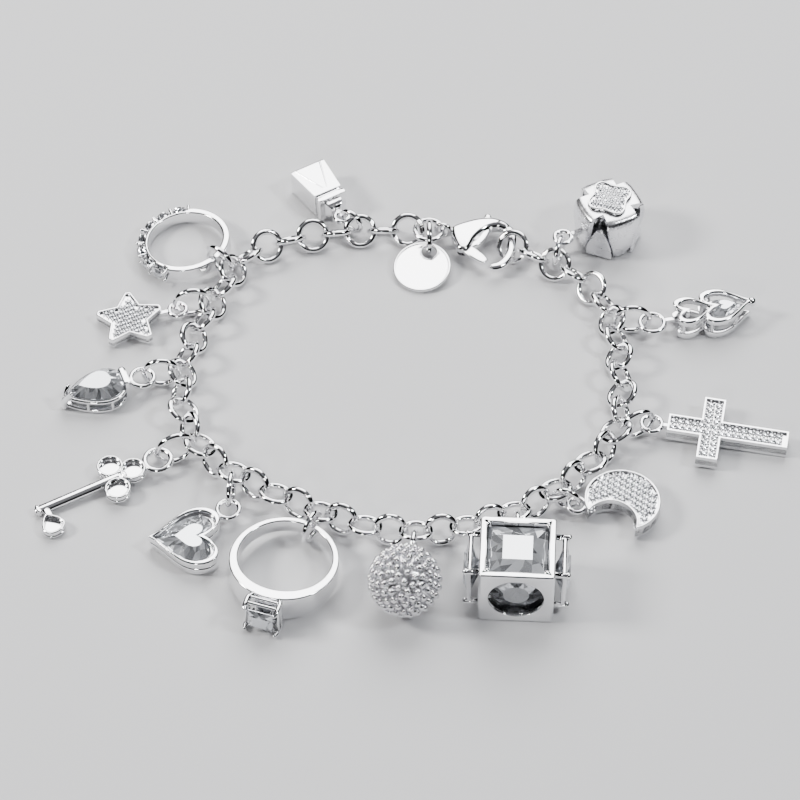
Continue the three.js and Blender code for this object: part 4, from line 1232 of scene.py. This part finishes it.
@dataclass
class Charm:
    """A charm that hangs by a loop.

    Args:
        node: Its solid.
        heading: Its heading, in degrees.
        loop: The centre-line radius of its loop.
        neck: The length of the neck between its loop and its body.
        wire: The radius of its loop's wire.
        upright: Whether it stands upright.
    """

    node: str
    heading: float
    loop: float
    neck: float = 0.0
    wire: float = 0.38
    upright: bool = False
    frame: Matrix = field(init=False)
    start: float = field(init=False)

    def __post_init__(self) -> None:
        outer = self.loop + self.wire * WIRE_EDGE
        self.frame = charm_frame(self.node, self.heading, outer, self.upright)
        self.start = self.loop + self.wire + self.neck

    def form(self, tongue: float = 0.5) -> Form:
        """A shape with the charm's loop and its neck.

        Args:
            tongue: How far the neck reaches into the body.

        Returns:
            The shape.
        """
        form = Form(self.frame)
        form.hoop(Matrix(), self.loop, self.wire)
        length = self.start + tongue - self.loop
        form.block((self.loop + length / 2, 0, 0), (length, 1.9 * self.wire, 1.7 * self.wire), 0.12)
        return form

    def finish(self, form: Form, finish: Finish = SILVER, part: str = "body") -> bpy.types.Object:
        """Makes a shape a piece that stands in for the charm's solid.

        Args:
            form: The shape.
            finish: Its finish.
            part: The end of its name.

        Returns:
            The piece.
        """
        return form.piece(f"{self.node}_{part}", finish, [self.node])

    def gem(self, form: Form, node: str) -> None:
        """Makes a shape a stone that stands in for a stone's solid.

        Args:
            form: The shape.
            node: The stone's solid.
        """
        form.piece(f"{node}_cut", CRYSTAL, [node])


def paved_plate(charm: Charm, outline: Outline, half: float, pave: Pave, turn: float = 0.0) -> None:
    """Makes a thick flat charm with a paved face inside a thin bright rim.

    Args:
        charm: The charm.
        outline: Its outline, anticlockwise.
        half: Half its thickness.
        pave: The paving.
        turn: How far the rows are turned, in radians.
    """
    form = charm.form()
    rim = offset(outline, 0.3)
    form.slab(outline, -half, half - 0.4, 0.25)
    form.rail(outline, rim, -0.5 * half, half, 0.1)
    charm.finish(form)
    xs, ys = [p.x for p in outline], [p.y for p in outline]
    origin = ((min(xs) + max(xs)) / 2, (min(ys) + max(ys)) / 2)
    pave.build(charm.node, charm.frame, pave.rows(rim, origin, turn), half - 0.28, charm.node)


@dataclass
class Flower(Charm):
    """The four-petal bead with a paved top."""

    radius: float = 5.3
    height: float = 8.2

    def build(self) -> None:
        """Makes the bead."""
        centre = self.start + self.radius
        base = points_of(self.node)[:, 2].min() - self.frame.translation.z
        profile = smooth_line(
            [
                (1.6, 0.93, 2.1), (3.4, 0.92, 2.25), (4.35, 0.87, 2.3), (4.72, 0.74, 2.32), (4.78, 0.52, 2.1),
                (4.7, 0.27, 1.6), (4.3, 0.03, 1.1),
            ],
            3,
        )
        petals = Form(self.frame)
        for k in range(4):
            way = at(math.cos(math.pi / 2 * k), math.sin(math.pi / 2 * k))
            side = at(-way.y, way.x)
            rings = []
            for reach, level, wide in profile:
                outside, lining = [], []
                for n in range(-6, 7):
                    share = n / 6
                    r = float(reach) * (1 - 0.05 * share**4)
                    z = base + float(level) * self.height
                    y = side * float(wide) * share
                    outside.append(at(centre, 0, z) + way * r + y)
                    drop = 0.7 if level > 0.86 else 0
                    lining.append(at(centre, 0, z - drop) + way * max(0.8, r - 0.7) + y)
                rings.append(outside + lining[::-1])
            petals.loft(rings)
        for k in range(4):
            turn = math.pi / 4 + math.pi / 2 * k
            arch = [
                (-2.0, 0.1), (2.0, 0.1), (1.75, 2.0), (1.1, 4.0), (0.45, 5.3), (-0.45, 5.3), (-1.1, 4.0),
                (-1.75, 2.0),
            ]  # fmt: skip
            leaf = Form(self.frame)
            leaf.slab([Vector(p) for p in arch], -0.25, 0.25, 0.15)
            way = at(math.cos(turn), math.sin(turn))
            side = at(-math.sin(turn), math.cos(turn))
            stand = Matrix((side, UP, way)).transposed().to_4x4()
            stand.translation = at(centre, 0, base) + way * 4.15
            petals.take(leaf, stand)
            leaf.mesh.free()
        petals.slab(circle(0.55 * self.radius, 32, (centre, 0)), base + 0.8, base + 0.9 * self.height, 0.3)
        self.finish(petals, SATIN, "petals")
        hook = self.form(1.6)
        top = base + self.height
        lobes = []
        for k in range(96):
            t = 2 * math.pi * k / 96
            reach = 3.4 * (abs(math.cos(2 * t)) ** 2.2 * 0.26 + 0.74)
            lobes.append(Vector((centre + reach * math.cos(t), reach * math.sin(t))))
        rim = offset(lobes, 0.28)
        hook.slab(lobes, top - 0.95, top - 0.32, 0.1)
        hook.rail(lobes, rim, top - 0.95, top - 0.02, 0.1)
        self.finish(hook)
        pave = Pave(0.4, 0.88, 0.15)
        pave.build(self.node, self.frame, pave.rows(rim, (centre, 0), 0.3), top - 0.2, self.node)


@dataclass
class Hearts(Charm):
    """The small open heart joined to a larger one with a stone."""

    small: float = 5.0
    large: float = 6.3
    stretch: float = 1.18
    half: float = 1.8
    rail: float = 0.95
    cleft: float = 6.9 / 28.9

    def build(self) -> None:
        """Makes the two hearts and their stone."""
        small_long, large_long = self.stretch * self.small, self.stretch * self.large
        form = self.form(self.cleft * small_long + 0.5)
        begin = self.start + small_long - self.cleft * large_long - 0.3
        small = moved(heart_outline(small_long, self.small), self.start)
        large = moved(heart_outline(large_long, self.large), begin)
        for outline in (small, large):
            hole = scaled(outline, 0.85 * self.rail)
            form.rail(outline, hole, 0.4 * self.half, self.half, 0.3, 4)
            form.rail(outline, hole, -self.half, -0.4 * self.half, 0.25, 2)
            middle = scaled(outline, 0.42 * self.rail)
            for k in range(5, 48, 9):
                spot = middle[k]
                ends = [at(spot.x, spot.y, side * 0.6 * self.half) for side in (-1, 1)]
                form.wire(ends, 0.3, up=at(1, 0))
        end = self.start + self.cleft * small_long
        form.block((end + self.rail / 2, 0, 0), (0.7, 0.9, 1.6 * self.half), 0.2)
        form.block((self.start + small_long - self.rail, 0, 0), (0.9, 0.8, 1.6 * self.half), 0.2)
        form.ball(at(begin + large_long - 0.15, 0, self.half - 0.5), 0.68, 20)
        self.finish(form)
        gem = Form(self.frame)
        seat = scaled(large, self.rail + 0.55)
        gem.stone(seat[::3], -0.2 * self.half, 0.55 * self.half, 0.92 * self.half, 0.5)
        self.gem(gem, "hearts_stone")


@dataclass
class Cross(Charm):
    """The flat cross with a paved face."""

    length: float = 16.6
    span: float = 10.8
    bar: float = 2.95
    half: float = 1.1

    def build(self) -> None:
        """Makes the cross."""
        w, s = self.bar / 2, self.span / 2
        near, far = self.start, self.start + self.length
        arm = near + 0.36 * self.length
        corners = [
            (near, -w), (arm - w, -w), (arm - w, -s), (arm + w, -s), (arm + w, -w), (far, -w),
            (far, w), (arm + w, w), (arm + w, s), (arm - w, s), (arm - w, w), (near, w),
        ]  # fmt: skip
        outline = [Vector(p) for p in corners]
        form = self.form()
        form.slab(outline, -self.half, self.half - 0.4, 0.2)
        rim = offset(outline, 0.3)
        form.rail(outline, rim, -0.5 * self.half, self.half, 0.1)
        self.finish(form)
        pitch, places = 0.97, []
        for k in range(-7, 12):
            for side in (-0.5, 0.5):
                spot = Vector((arm + (k + 0.5) * pitch, side * pitch * 1.12))
                across = Vector((arm + side * pitch * 1.12, (k + 0.5) * pitch))
                places += [p for p in (spot, across) if inside(offset(rim, 0.3), p)]
        unique = [p for n, p in enumerate(places) if all((p - q).length > 0.7 for q in places[:n])]
        Pave(0.43, pitch, 0.16).build(self.node, self.frame, unique, self.half - 0.28, self.node)


@dataclass
class Moon(Charm):
    """The crescent with a paved face."""

    radius: float = 5.15
    cut: float = 3.4
    half: float = 1.3

    def build(self) -> None:
        """Makes the crescent."""
        centre = at(self.loop + self.radius - 0.2, 0)
        shift = 0.78 * self.radius
        look = math.radians(-116)
        along = (self.radius**2 - self.cut**2 + shift**2) / (2 * shift)
        horn = math.acos(along / self.radius)
        inner = math.pi - math.acos((shift - along) / self.cut)
        middle = Vector((centre.x + shift * math.cos(look), shift * math.sin(look)))
        outline = []
        for k in range(49):
            t = look + horn + (2 * math.pi - 2 * horn) * k / 48
            outline.append(Vector((centre.x + self.radius * math.cos(t), self.radius * math.sin(t))))
        for k in range(1, 32):
            t = look - inner + (2 * inner - 2 * math.pi) * k / 32
            outline.append(middle + Vector((math.cos(t), math.sin(t))) * self.cut)
        paved_plate(self, outline, self.half, Pave(0.42, 0.93, 0.15), math.radians(20))


@dataclass
class Cube(Charm):
    """The open cube with a square stone on top, one at either side and a round one in its window."""

    width: float = 10.0
    height: float = 9.6
    window: float = 3.7
    wall: float = 0.9
    side: float = 3.0
    rise: float = 2.2

    def build(self) -> None:
        """Makes the cube and its stones."""
        base = points_of(self.node)[:, 2].min() - self.frame.translation.z
        middle, mid, w = self.start + self.width / 2, base + self.height / 2, self.width / 2
        cavity = self.width - 2 * self.wall
        form = self.form(0.4)
        square = rectangle(self.width, self.width, (middle, 0), cut=0.35)
        bore = rectangle(cavity, cavity, (middle, 0), cut=0.3)
        form.rail(square, bore, base, base + self.height - 0.02, 0.22, 3)
        form.slab(scaled(square, 0.3), base, base + 0.9, 0.2)
        out = w + self.rise
        for face in (-1, 1):
            for a in (-1, 1):
                for b in (-1, 1):
                    x, z = middle + a * (self.side + 0.15), mid + b * (self.side + 0.15)
                    form.wire([at(x, face * (w - 0.5), z), at(x, face * (out - 0.5), z)], 0.42)
                    form.ball(at(x, face * (out - 0.5), z), 0.48)
            for a in (-1, 1):
                x, z = middle + a * (self.side + 0.05), mid + a * (self.side + 0.05)
                level = face * (w + 0.55 * self.rise)
                form.wire([at(middle - 3.1, level, z), at(middle + 3.1, level, z)], 0.36)
                form.wire([at(x, level, mid - 3.1), at(x, level, mid + 3.1)], 0.36, up=at(1, 0))
        for a in (-1, 1):
            for b in (-1, 1):
                spot = at(middle + a * (cavity / 2 - 0.15), b * (cavity / 2 - 0.15), base + self.height - 0.3)
                form.ball(spot, 0.45, 16)
        made = self.finish(form)
        hole = Form(self.frame)
        front = at(self.start + self.width + 2, 0, mid)
        hole.wire([at(middle, 0, mid), front], self.window, sides=64)
        carve(made, hole)
        rim = Form(self.frame)
        edge = facing(Matrix(), at(middle + w - 0.14, 0, mid), at(1, 0))
        rim.hoop(edge, self.window + 0.1, 0.13, steps=64)
        self.finish(rim, part="rims")
        top = Form(self.frame)
        top.stone(
            divided(rectangle(cavity - 0.3, cavity - 0.3, (middle, 0)), 4),
            base + self.height - 3.4, base + self.height - 0.9, base + self.height - 0.05, 0.5,
        )  # fmt: skip
        self.gem(top, "cube_top_stone")
        for face, node in ((-1, "cube_left_stone"), (1, "cube_right_stone")):
            gem = Form(facing(self.frame, at(middle, face * (out - 0.2), mid), at(0, face)))
            gem.stone(divided(rectangle(5.5, 5.5), 2), -2.5, -0.6, 0.06, 0.55)
            self.gem(gem, node)
        gem = Form(facing(self.frame, at(middle + cavity / 2 - 0.3, 0, mid - 0.3), at(1, 0)))
        gem.stone(circle(3.45, 16), -2.2, -0.5, 0.3, 0.5)
        self.gem(gem, "cube_window_stone")


@dataclass
class Ball(Charm):
    """The granulated ball."""

    radius: float = 5.05

    def build(self) -> None:
        """Makes the ball."""
        points = points_of(self.node)
        up = points[:, 2].min() + self.radius - self.frame.translation.z
        centre = at(self.loop + math.sqrt(self.radius**2 - up**2), 0, up)
        core = self.form(0.2)
        core.ball(centre, self.radius - 0.95, 40)
        self.finish(core, SATIN)
        grains = Form(self.frame)
        count = 190
        for k in range(count):
            z = 1 - 2 * (k + 0.5) / count
            turn = k * math.pi * (3 - math.sqrt(5))
            way = at(math.sqrt(1 - z * z) * math.cos(turn), math.sqrt(1 - z * z) * math.sin(turn), z)
            size = random.uniform(0.46, 0.56)
            grains.ball(centre + way * (self.radius - size - 0.03), size, 10)
        self.finish(grains, GRAINED, "grains")


@dataclass
class FingerRing:
    """A finger ring that lies on its side and is held by its band.

    Args:
        node: Its solid.
        radius: The outer radius of its band at the back.
        crown: The heading of its crown, in degrees.
    """

    node: str
    radius: float
    crown: float
    frame: Matrix = field(init=False)

    def __post_init__(self) -> None:
        points = points_of(self.node)
        turn = math.radians(self.crown)
        z = middle_frame(points).to_3x3() @ UP
        self.frame = frame_of(Vector(), at(math.cos(turn), math.sin(turn)), z)
        axes = np.array(self.frame.to_3x3())
        local = points @ axes
        middle = (local.min(axis=0) + local.max(axis=0)) / 2
        middle[0] = local[:, 0].min() + self.radius
        left = local[local[:, 0] < middle[0]][:, 1]
        middle[1] = (left.min() + left.max()) / 2
        self.frame.translation = Vector(axes @ middle)

    def band(self, form: Form, section: Sequence[tuple[float, float, float, float]]) -> None:
        """Adds a band with a rounded section that varies round it.

        Args:
            form: The shape it is added to.
            section: The turn from the crown in degrees, the inner radius, the wall and the half width.
        """
        turns = [row[0] for row in section]
        rings = []
        for k in range(96):
            t = 2 * math.pi * k / 96
            back = min(k, 96 - k) * 360 / 96
            inner, wall, half = (
                float(np.interp(back, turns, [row[n] for row in section])) for n in (1, 2, 3)
            )
            round_edge = min(0.2, wall / 2.2)
            ring = []
            for quarter, (out, rise) in enumerate(((1, 1), (-1, 1), (-1, -1), (1, -1))):
                for n in range(4):
                    a = math.radians(90 * quarter + 30 * n)
                    r = inner + wall / 2 + out * (wall / 2 - round_edge) + round_edge * math.cos(a)
                    z = rise * (half - round_edge) + round_edge * math.sin(a)
                    ring.append(at(r * math.cos(t), r * math.sin(t), z))
            rings.append(ring)
        form.loft(rings, closed=True)


@dataclass
class Solitaire(FingerRing):
    """The finger ring with a square stone."""

    head: float = 4.4
    reach: float = 10.7

    def build(self) -> None:
        """Makes the ring and its stone."""
        inner = self.radius - 0.8
        form = Form(self.frame)
        section = []
        for back in range(0, 181, 6):
            share = ((1 + math.cos(math.radians(back))) / 2) ** 2
            section.append((float(back), inner, 0.8 + 0.8 * share, 1.1 + 1.1 * share))
        self.band(form, section)
        seat = self.head / 2
        plate = [at(0, -2.15), at(1.0, -1.5), at(1.0, 1.5), at(0, 2.15)]
        for level in (-1.9, 1.5):
            outline = [Vector((inner + 1.2 + p.x, p.y)) for p in plate]
            form.slab(outline, level, level + 0.4, 0.1, 2)
        form.block((inner + 1.7, 0, 0), (2.0, 2.6, 2.6), 0.3)
        for a in (-1, 1):
            for b in (-1, 1):
                low, high = inner + 1.0, self.reach + self.radius - 7.1 - 0.1
                path = [at(low, a * (seat - 0.5), b * (seat - 0.5)), at(low + 1.3, a * seat, b * seat)]
                path += [
                    at(high - 0.5, a * seat, b * seat),
                    at(high - 0.12, a * (seat - 0.12), b * (seat - 0.12)),
                ]
                form.wire(path, [0.4, 0.4, 0.36, 0.26], up=at(0, 1, 0), sides=14)
                form.ball(path[-1], 0.26)
            for level in (inner + 2.1, inner + 3.1):
                form.wire([at(level, a * seat, -seat), at(level, a * seat, seat)], 0.24, up=at(1, 0))
                form.wire([at(level, -seat, a * seat), at(level, seat, a * seat)], 0.24, up=at(1, 0))
        form.piece("solitaire_band", SILVER, ["solitaire"])
        gem = Form(facing(self.frame, at(self.reach + self.radius - 7.1, 0, 0), at(1, 0)))
        size = self.head - 0.95
        gem.stone(divided(rectangle(size, size), 3), -1.9, -0.5, -0.02, 0.55)
        gem.piece("solitaire_stone_cut", CRYSTAL, ["solitaire_stone"])


@dataclass
class Eternity(FingerRing):
    """The half eternity ring."""

    wall: float = 1.0
    width: float = 2.0
    stones: int = 7
    arc: float = 135.0
    gem: float = 0.95

    def build(self) -> None:
        """Makes the ring and its stones."""
        inner = self.radius - self.wall
        half = self.width / 2
        form = Form(self.frame)
        edge = self.arc / 2 + 9
        section = [
            (0.0, inner, 0.45, half), (edge - 1, inner, 0.45, half), (edge + 1, inner, self.wall, half),
            (180.0, inner, self.wall, half),
        ]  # fmt: skip
        self.band(form, section)
        for k in range(self.stones):
            turn = math.radians(self.arc * (k / (self.stones - 1) - 0.5))
            out = at(math.cos(turn), math.sin(turn))
            seat = facing(Matrix(), out * (self.radius + 0.4), out, 45)
            form.hoop(seat @ Matrix.Translation((0, 0, -0.1)), self.gem, 0.14, steps=24, sides=8)
            form.hoop(seat @ Matrix.Translation((0, 0, -0.75)), self.gem - 0.12, 0.2, steps=24, sides=8)
            gem = Form(self.frame @ seat)
            gem.stone(circle(self.gem - 0.06, 12), -0.75, 0.0, 0.28, 0.55)
            gem.piece(f"eternity_stone_{k + 1}_cut", CRYSTAL, [f"eternity_stone_{k + 1}"])
        for k in range(self.stones + 1):
            turn = math.radians(self.arc * ((k - 0.5) / (self.stones - 1) - 0.5))
            out = at(math.cos(turn), math.sin(turn))
            for side in (-1, 1):
                foot = out * (self.radius - 0.4) + UP * side * 0.55
                tip = out * (self.radius + 0.62) + UP * side * 0.62
                form.wire([foot, tip], 0.27, up=out.cross(UP), sides=10)
                form.ball(tip, 0.29)
        form.piece("eternity_band", SILVER, ["eternity"])


@dataclass
class Heart(Charm):
    """The bezel heart with a cut heart stone."""

    length: float = 9.6
    half: float = 1.35
    turn: float = -42.0

    def build(self) -> None:
        """Makes the heart and its stone."""
        form = self.form(0.9)
        turn = math.radians(self.turn)
        place = Vector((self.start + 0.1 + self.length / 2, 0))
        centred = moved(heart_outline(self.length, self.length, 72), -self.length / 2)
        outline = moved(centred, place.x, 0, turn)
        plain = heart_outline(self.length, self.length, 72)

        def inner(margin: float) -> Outline:
            return moved(moved(scaled(plain, margin), -self.length / 2), place.x, 0, turn)

        form.rail(outline, inner(0.7), 0.05 * self.half, self.half, 0.24, 4)
        form.rail(inner(0.1), inner(1.2), -self.half, 0.0, 0.35, 4)
        form.rail(inner(0.4), inner(1.3), -0.2, 0.42 * self.half, 0.12)
        self.finish(form)
        gem = Form(self.frame)
        gem.stone(inner(1.0)[::3], -0.1 * self.half, 0.5 * self.half, 1.15 * self.half, 0.5)
        self.gem(gem, "heart_stone")


@dataclass
class Key(Charm):
    """The key with a three-lobed bow and a teardrop bit."""

    length: float = 20.5
    half: float = 0.65
    lobe: float = 1.8

    def build(self) -> None:
        """Makes the key."""
        form = Form(self.frame)
        form.hoop(Matrix(), self.loop, self.wire, steps=48, sides=16)
        end = self.length - self.loop - self.wire
        rims = []
        for x, y in ((6.3, -1.95), (3.75, 0.0), (6.9, 2.05)):
            rims.append(circle(self.lobe, 48, (x, y)))
        turn = math.atan2(-3.0, 0.4)
        drop = moved(pear_outline(3.7, 3.3, 48), end - 1.35, 4.95, turn)
        rims.append(drop)
        for outline in rims:
            form.slab(outline, -self.half, -0.15, 0.2)
            form.rail(outline, offset(outline, 0.36), -0.1, self.half, 0.15, 3)
        form.slab(circle(0.9, 32, (5.6, 0.05)), -self.half, 0.6 * self.half, 0.3)
        form.wire(
            [at(x, 0) for x in (5.9, 8.4, 8.6, 12.0, end - 0.3, end)],
            [0.8, 0.8, 0.78, 0.76, 0.76, 0.5], squash=0.74, sides=16,
        )  # fmt: skip
        form.block((end - 0.45, 0, 0), (0.7, 1.5, 1.1), 0.25)
        form.block((end - 1.35, 1.1, 0), (1.0, 1.6, 1.0), 0.25)
        self.finish(form)


@dataclass
class Pear(Charm):
    """The pear-shaped stone in a gallery of two rails."""

    length: float = 9.2
    width: float = 6.5
    height: float = 3.4
    rail: float = 0.8

    def build(self) -> None:
        """Makes the drop and its stone."""
        half = self.height / 2
        shift = -0.28 * half
        outline = moved(pear_outline(self.length, self.width, 60), self.start)
        form = self.form(0.9)
        top, under = 0.72 * half + shift, shift - 0.72 * half
        form.rail(outline, offset(outline, 0.62), top - 0.62, top, 0.28, 4)
        form.rail(offset(outline, 0.1), offset(outline, 0.75), under, under + 0.7, 0.28, 4)
        middle = offset(outline, 0.38)
        for k in (9, 18, 27, 33, 42, 51):
            spot = middle[k]
            form.wire([at(spot.x, spot.y, under + 0.3), at(spot.x, spot.y, top - 0.3)], 0.28, up=at(1, 0))
        form.block((self.start + 0.3, 0, 0.1 * half), (1.1, 3.3, 3.1), 0.3)
        far = self.start + self.length
        for side in (-1, 1):
            path = [
                at(far - 0.05, side * 0.15, under + 0.3),
                at(far - 0.1, side * 0.42, 0.2),
                at(far - 1.1, side * 0.75, half),
            ]
            form.wire(path, [0.4, 0.46, 0.32], up=at(0, 1, 0))
            form.ball(path[-1], 0.32)
        self.finish(form)
        gem = Form(self.frame)
        seat = offset(outline, 0.42)
        gem.stone(seat[::2], -0.9, 0.6 * half, 1.3 * half, 0.55)
        self.gem(gem, "pear_stone")


@dataclass
class Star(Charm):
    """The five-pointed star with a paved face."""

    tip: float = 4.7
    notch: float = 2.75
    half: float = 0.85
    turn: float = 9.0

    def build(self) -> None:
        """Makes the star."""
        centre = self.start + self.tip
        outline = []
        for k in range(5):
            tip = math.pi + math.radians(self.turn) + 2 * math.pi * k / 5
            for turn, reach in (
                (-0.09, self.tip), (0.0, self.tip + 0.03), (0.09, self.tip), (math.pi / 5, self.notch),
            ):  # fmt: skip
                outline.append(Vector((centre + reach * math.cos(tip + turn), reach * math.sin(tip + turn))))
        paved_plate(self, outline, self.half, Pave(0.36, 0.8, 0.13), math.radians(self.turn))


@dataclass
class Bar(Charm):
    """The square tapered bar with a domed cap."""

    length: float = 8.7
    wide: float = 5.6
    narrow: float = 4.4
    height: float = 4.0

    def build(self) -> None:
        """Makes the bar."""
        form = self.form(0.6)
        stations = [
            (0.0, 0.2), (0.15, 0.36), (0.45, 0.5), (0.9, 0.58), (1.15, 0.62), (1.2, 0.96), (1.35, 1.0),
            (1.95, 1.0), (2.1, 0.96), (2.12, 0.86), (2.58, 0.86), (2.6, 0.96), (2.75, 1.0),
        ]  # fmt: skip
        rows = [(x, s * self.narrow, s * self.height) for x, s in stations]
        rows += [
            (self.length - 0.35, self.wide - 0.03, self.height),
            (self.length - 0.08, self.wide - 0.2, self.height - 0.2),
            (self.length, self.wide - 0.6, self.height - 0.6),
        ]  # fmt: skip
        rings = []
        for x, wide, high in rows:
            ring = []
            for n in range(32):
                t = 2 * math.pi * n / 32
                c, s = math.cos(t), math.sin(t)
                across, along = (math.copysign(min(1, 1.18 * abs(t) ** 0.55), t) for t in (c, s))
                ring.append(at(self.start + x, wide / 2 * across, high / 2 * along))
            rings.append(ring)
        form.loft(rings)
        for side in (-1, 1):
            level = self.height / 2 - 0.1
            path = [
                at(self.start + self.length - 0.3, side * 0.36 * self.wide, level),
                at(self.start + 3.4, side * 0.3, level),
            ]
            form.wire(path, [0.17, 0.12])
        self.finish(form)


# Room


@dataclass
class Room:
    """The table top, the lights and the camera.

    Args:
        elevation: How far the camera looks down, in degrees.
        distance: How far it is from what it looks at, in millimetres.
        lens: Its focal length, for a sensor 36 mm wide.
        aim: What it looks at on the table, in millimetres.
    """

    elevation: float = 50.0
    distance: float = 500.0
    lens: float = 162.0
    aim: tuple[float, float] = (-1.908, -0.726)

    def build(self) -> None:
        """Makes the room."""
        scene = bpy.context.scene
        bm = bmesh.new()
        bmesh.ops.create_grid(bm, x_segments=1, y_segments=1, size=1.5)
        data = bpy.data.meshes.new("table_top")
        bm.to_mesh(data)
        bm.free()
        top = bpy.data.materials.new("paper")
        top.use_nodes = True
        shader = top.node_tree.nodes["Principled BSDF"]
        shader.inputs["Base Color"].default_value = (0.66, 0.66, 0.67, 1.0)
        shader.inputs["Roughness"].default_value = 0.6
        data.materials.append(top)
        table = bpy.data.objects.new("table_top", data)
        scene.collection.objects.link(table)
        table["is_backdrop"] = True
        aim = Vector((self.aim[0], self.aim[1], 0)) * MM
        for name, place, size, watts, colour in (
            ("back_light", (0.05, 0.45, 0.52), 0.62, 4.4, (1.0, 1.0, 1.0)),
            ("left_light", (-0.5, 0.0, 0.4), 0.14, 2.2, (1.0, 0.99, 0.97)),
            ("right_light", (0.45, -0.1, 0.5), 0.1, 1.2, (0.96, 0.98, 1.0)),
            ("front_light", (-0.15, -0.5, 0.3), 0.07, 0.45, (1.0, 1.0, 1.0)),
        ):
            lamp = bpy.data.lights.new(name, "AREA")
            lamp.size = size
            lamp.energy = watts
            lamp.color = colour
            held = bpy.data.objects.new(name, lamp)
            held.location = Vector(place) + aim
            held.rotation_euler = (-Vector(place)).to_track_quat("-Z", "Y").to_euler()
            scene.collection.objects.link(held)
            held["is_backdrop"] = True
        world = bpy.data.worlds.new("studio")
        world.use_nodes = True
        nodes, links = world.node_tree.nodes, world.node_tree.links
        place = nodes.new("ShaderNodeTexCoord")
        split = nodes.new("ShaderNodeSeparateXYZ")
        ramp = nodes.new("ShaderNodeValToRGB")
        ramp.color_ramp.elements[0].position = 0.5
        ramp.color_ramp.elements[0].color = (0.02, 0.02, 0.022, 1)
        ramp.color_ramp.elements[1].position = 1.0
        ramp.color_ramp.elements[1].color = (0.5, 0.5, 0.52, 1)
        links.new(place.outputs["Generated"], split.inputs["Vector"])
        links.new(split.outputs["Z"], ramp.inputs["Fac"])
        links.new(ramp.outputs["Color"], nodes["Background"].inputs["Color"])
        nodes["Background"].inputs["Strength"].default_value = 0.4
        scene.world = world
        rise = math.radians(self.elevation)
        camera = bpy.data.objects.new("camera", bpy.data.cameras.new("camera"))
        camera.data.lens = self.lens
        camera.data.sensor_width = 36
        camera.location = aim + Vector((0, -math.cos(rise), math.sin(rise))) * self.distance * MM
        camera.rotation_euler = (math.pi / 2 - rise, 0, 0)
        camera.data.clip_start = 0.01
        scene.collection.objects.link(camera)
        scene.camera = camera
        scene.render.resolution_x = 800
        scene.render.resolution_y = 800
        scene.view_settings.view_transform = "AgX"
        scene.view_settings.look = "AgX - Medium High Contrast"
        scene.view_settings.exposure = 0.2


def sizes() -> dict[str, list[float]]:
    """The sizes of the bracelet as it stands.
    """
    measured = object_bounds()
    if isinstance(measured, dict):
        return {name: np.array(value, float).tolist() for name, value in measured.items()}
    return {"bounds": np.array([tuple(corner) for corner in measured], float).tolist()}


def main() -> None:
    """Dresses the bracelet and sets the room up."""
    logging.basicConfig(level=logging.INFO)
    random.seed(7)
    sizes()
    clasp = Clasp()
    Chain().build(clasp)
    clasp.build()
    Tag().build()
    for node in NODES:
        if node.endswith("_ring"):
            loose_ring(node, 0.42 if node == "tag_ring" else 0.4)
    pieces = [
        Flower("flower", 25, 1.2, 0.4, upright=True),
        Hearts("hearts", 12, 1.7, 1.2),
        Cross("cross", -10, 1.4, 0.4),
        Moon("moon", 2, 1.2),
        Cube("cube", -93, 1.2, 0.1, upright=True),
        Ball("ball", -99, 1.2, upright=True),
        Solitaire("solitaire", 7.1, -107.5),
        Heart("heart", -138, 1.5, 1.0),
        Key("key", -153, 1.8, wire=0.46),
        Pear("pear", -160, 1.6, 0.3),
        Star("star", -166, 1.2, 0.7),
        Eternity("eternity", 6.4, 167.5),
        Bar("bar", 121, 1.0),
    ]
    for charm in pieces:
        log.info("building %s", charm.node)
        charm.build()
    Room().build()


if __name__ == "__main__":
    main()
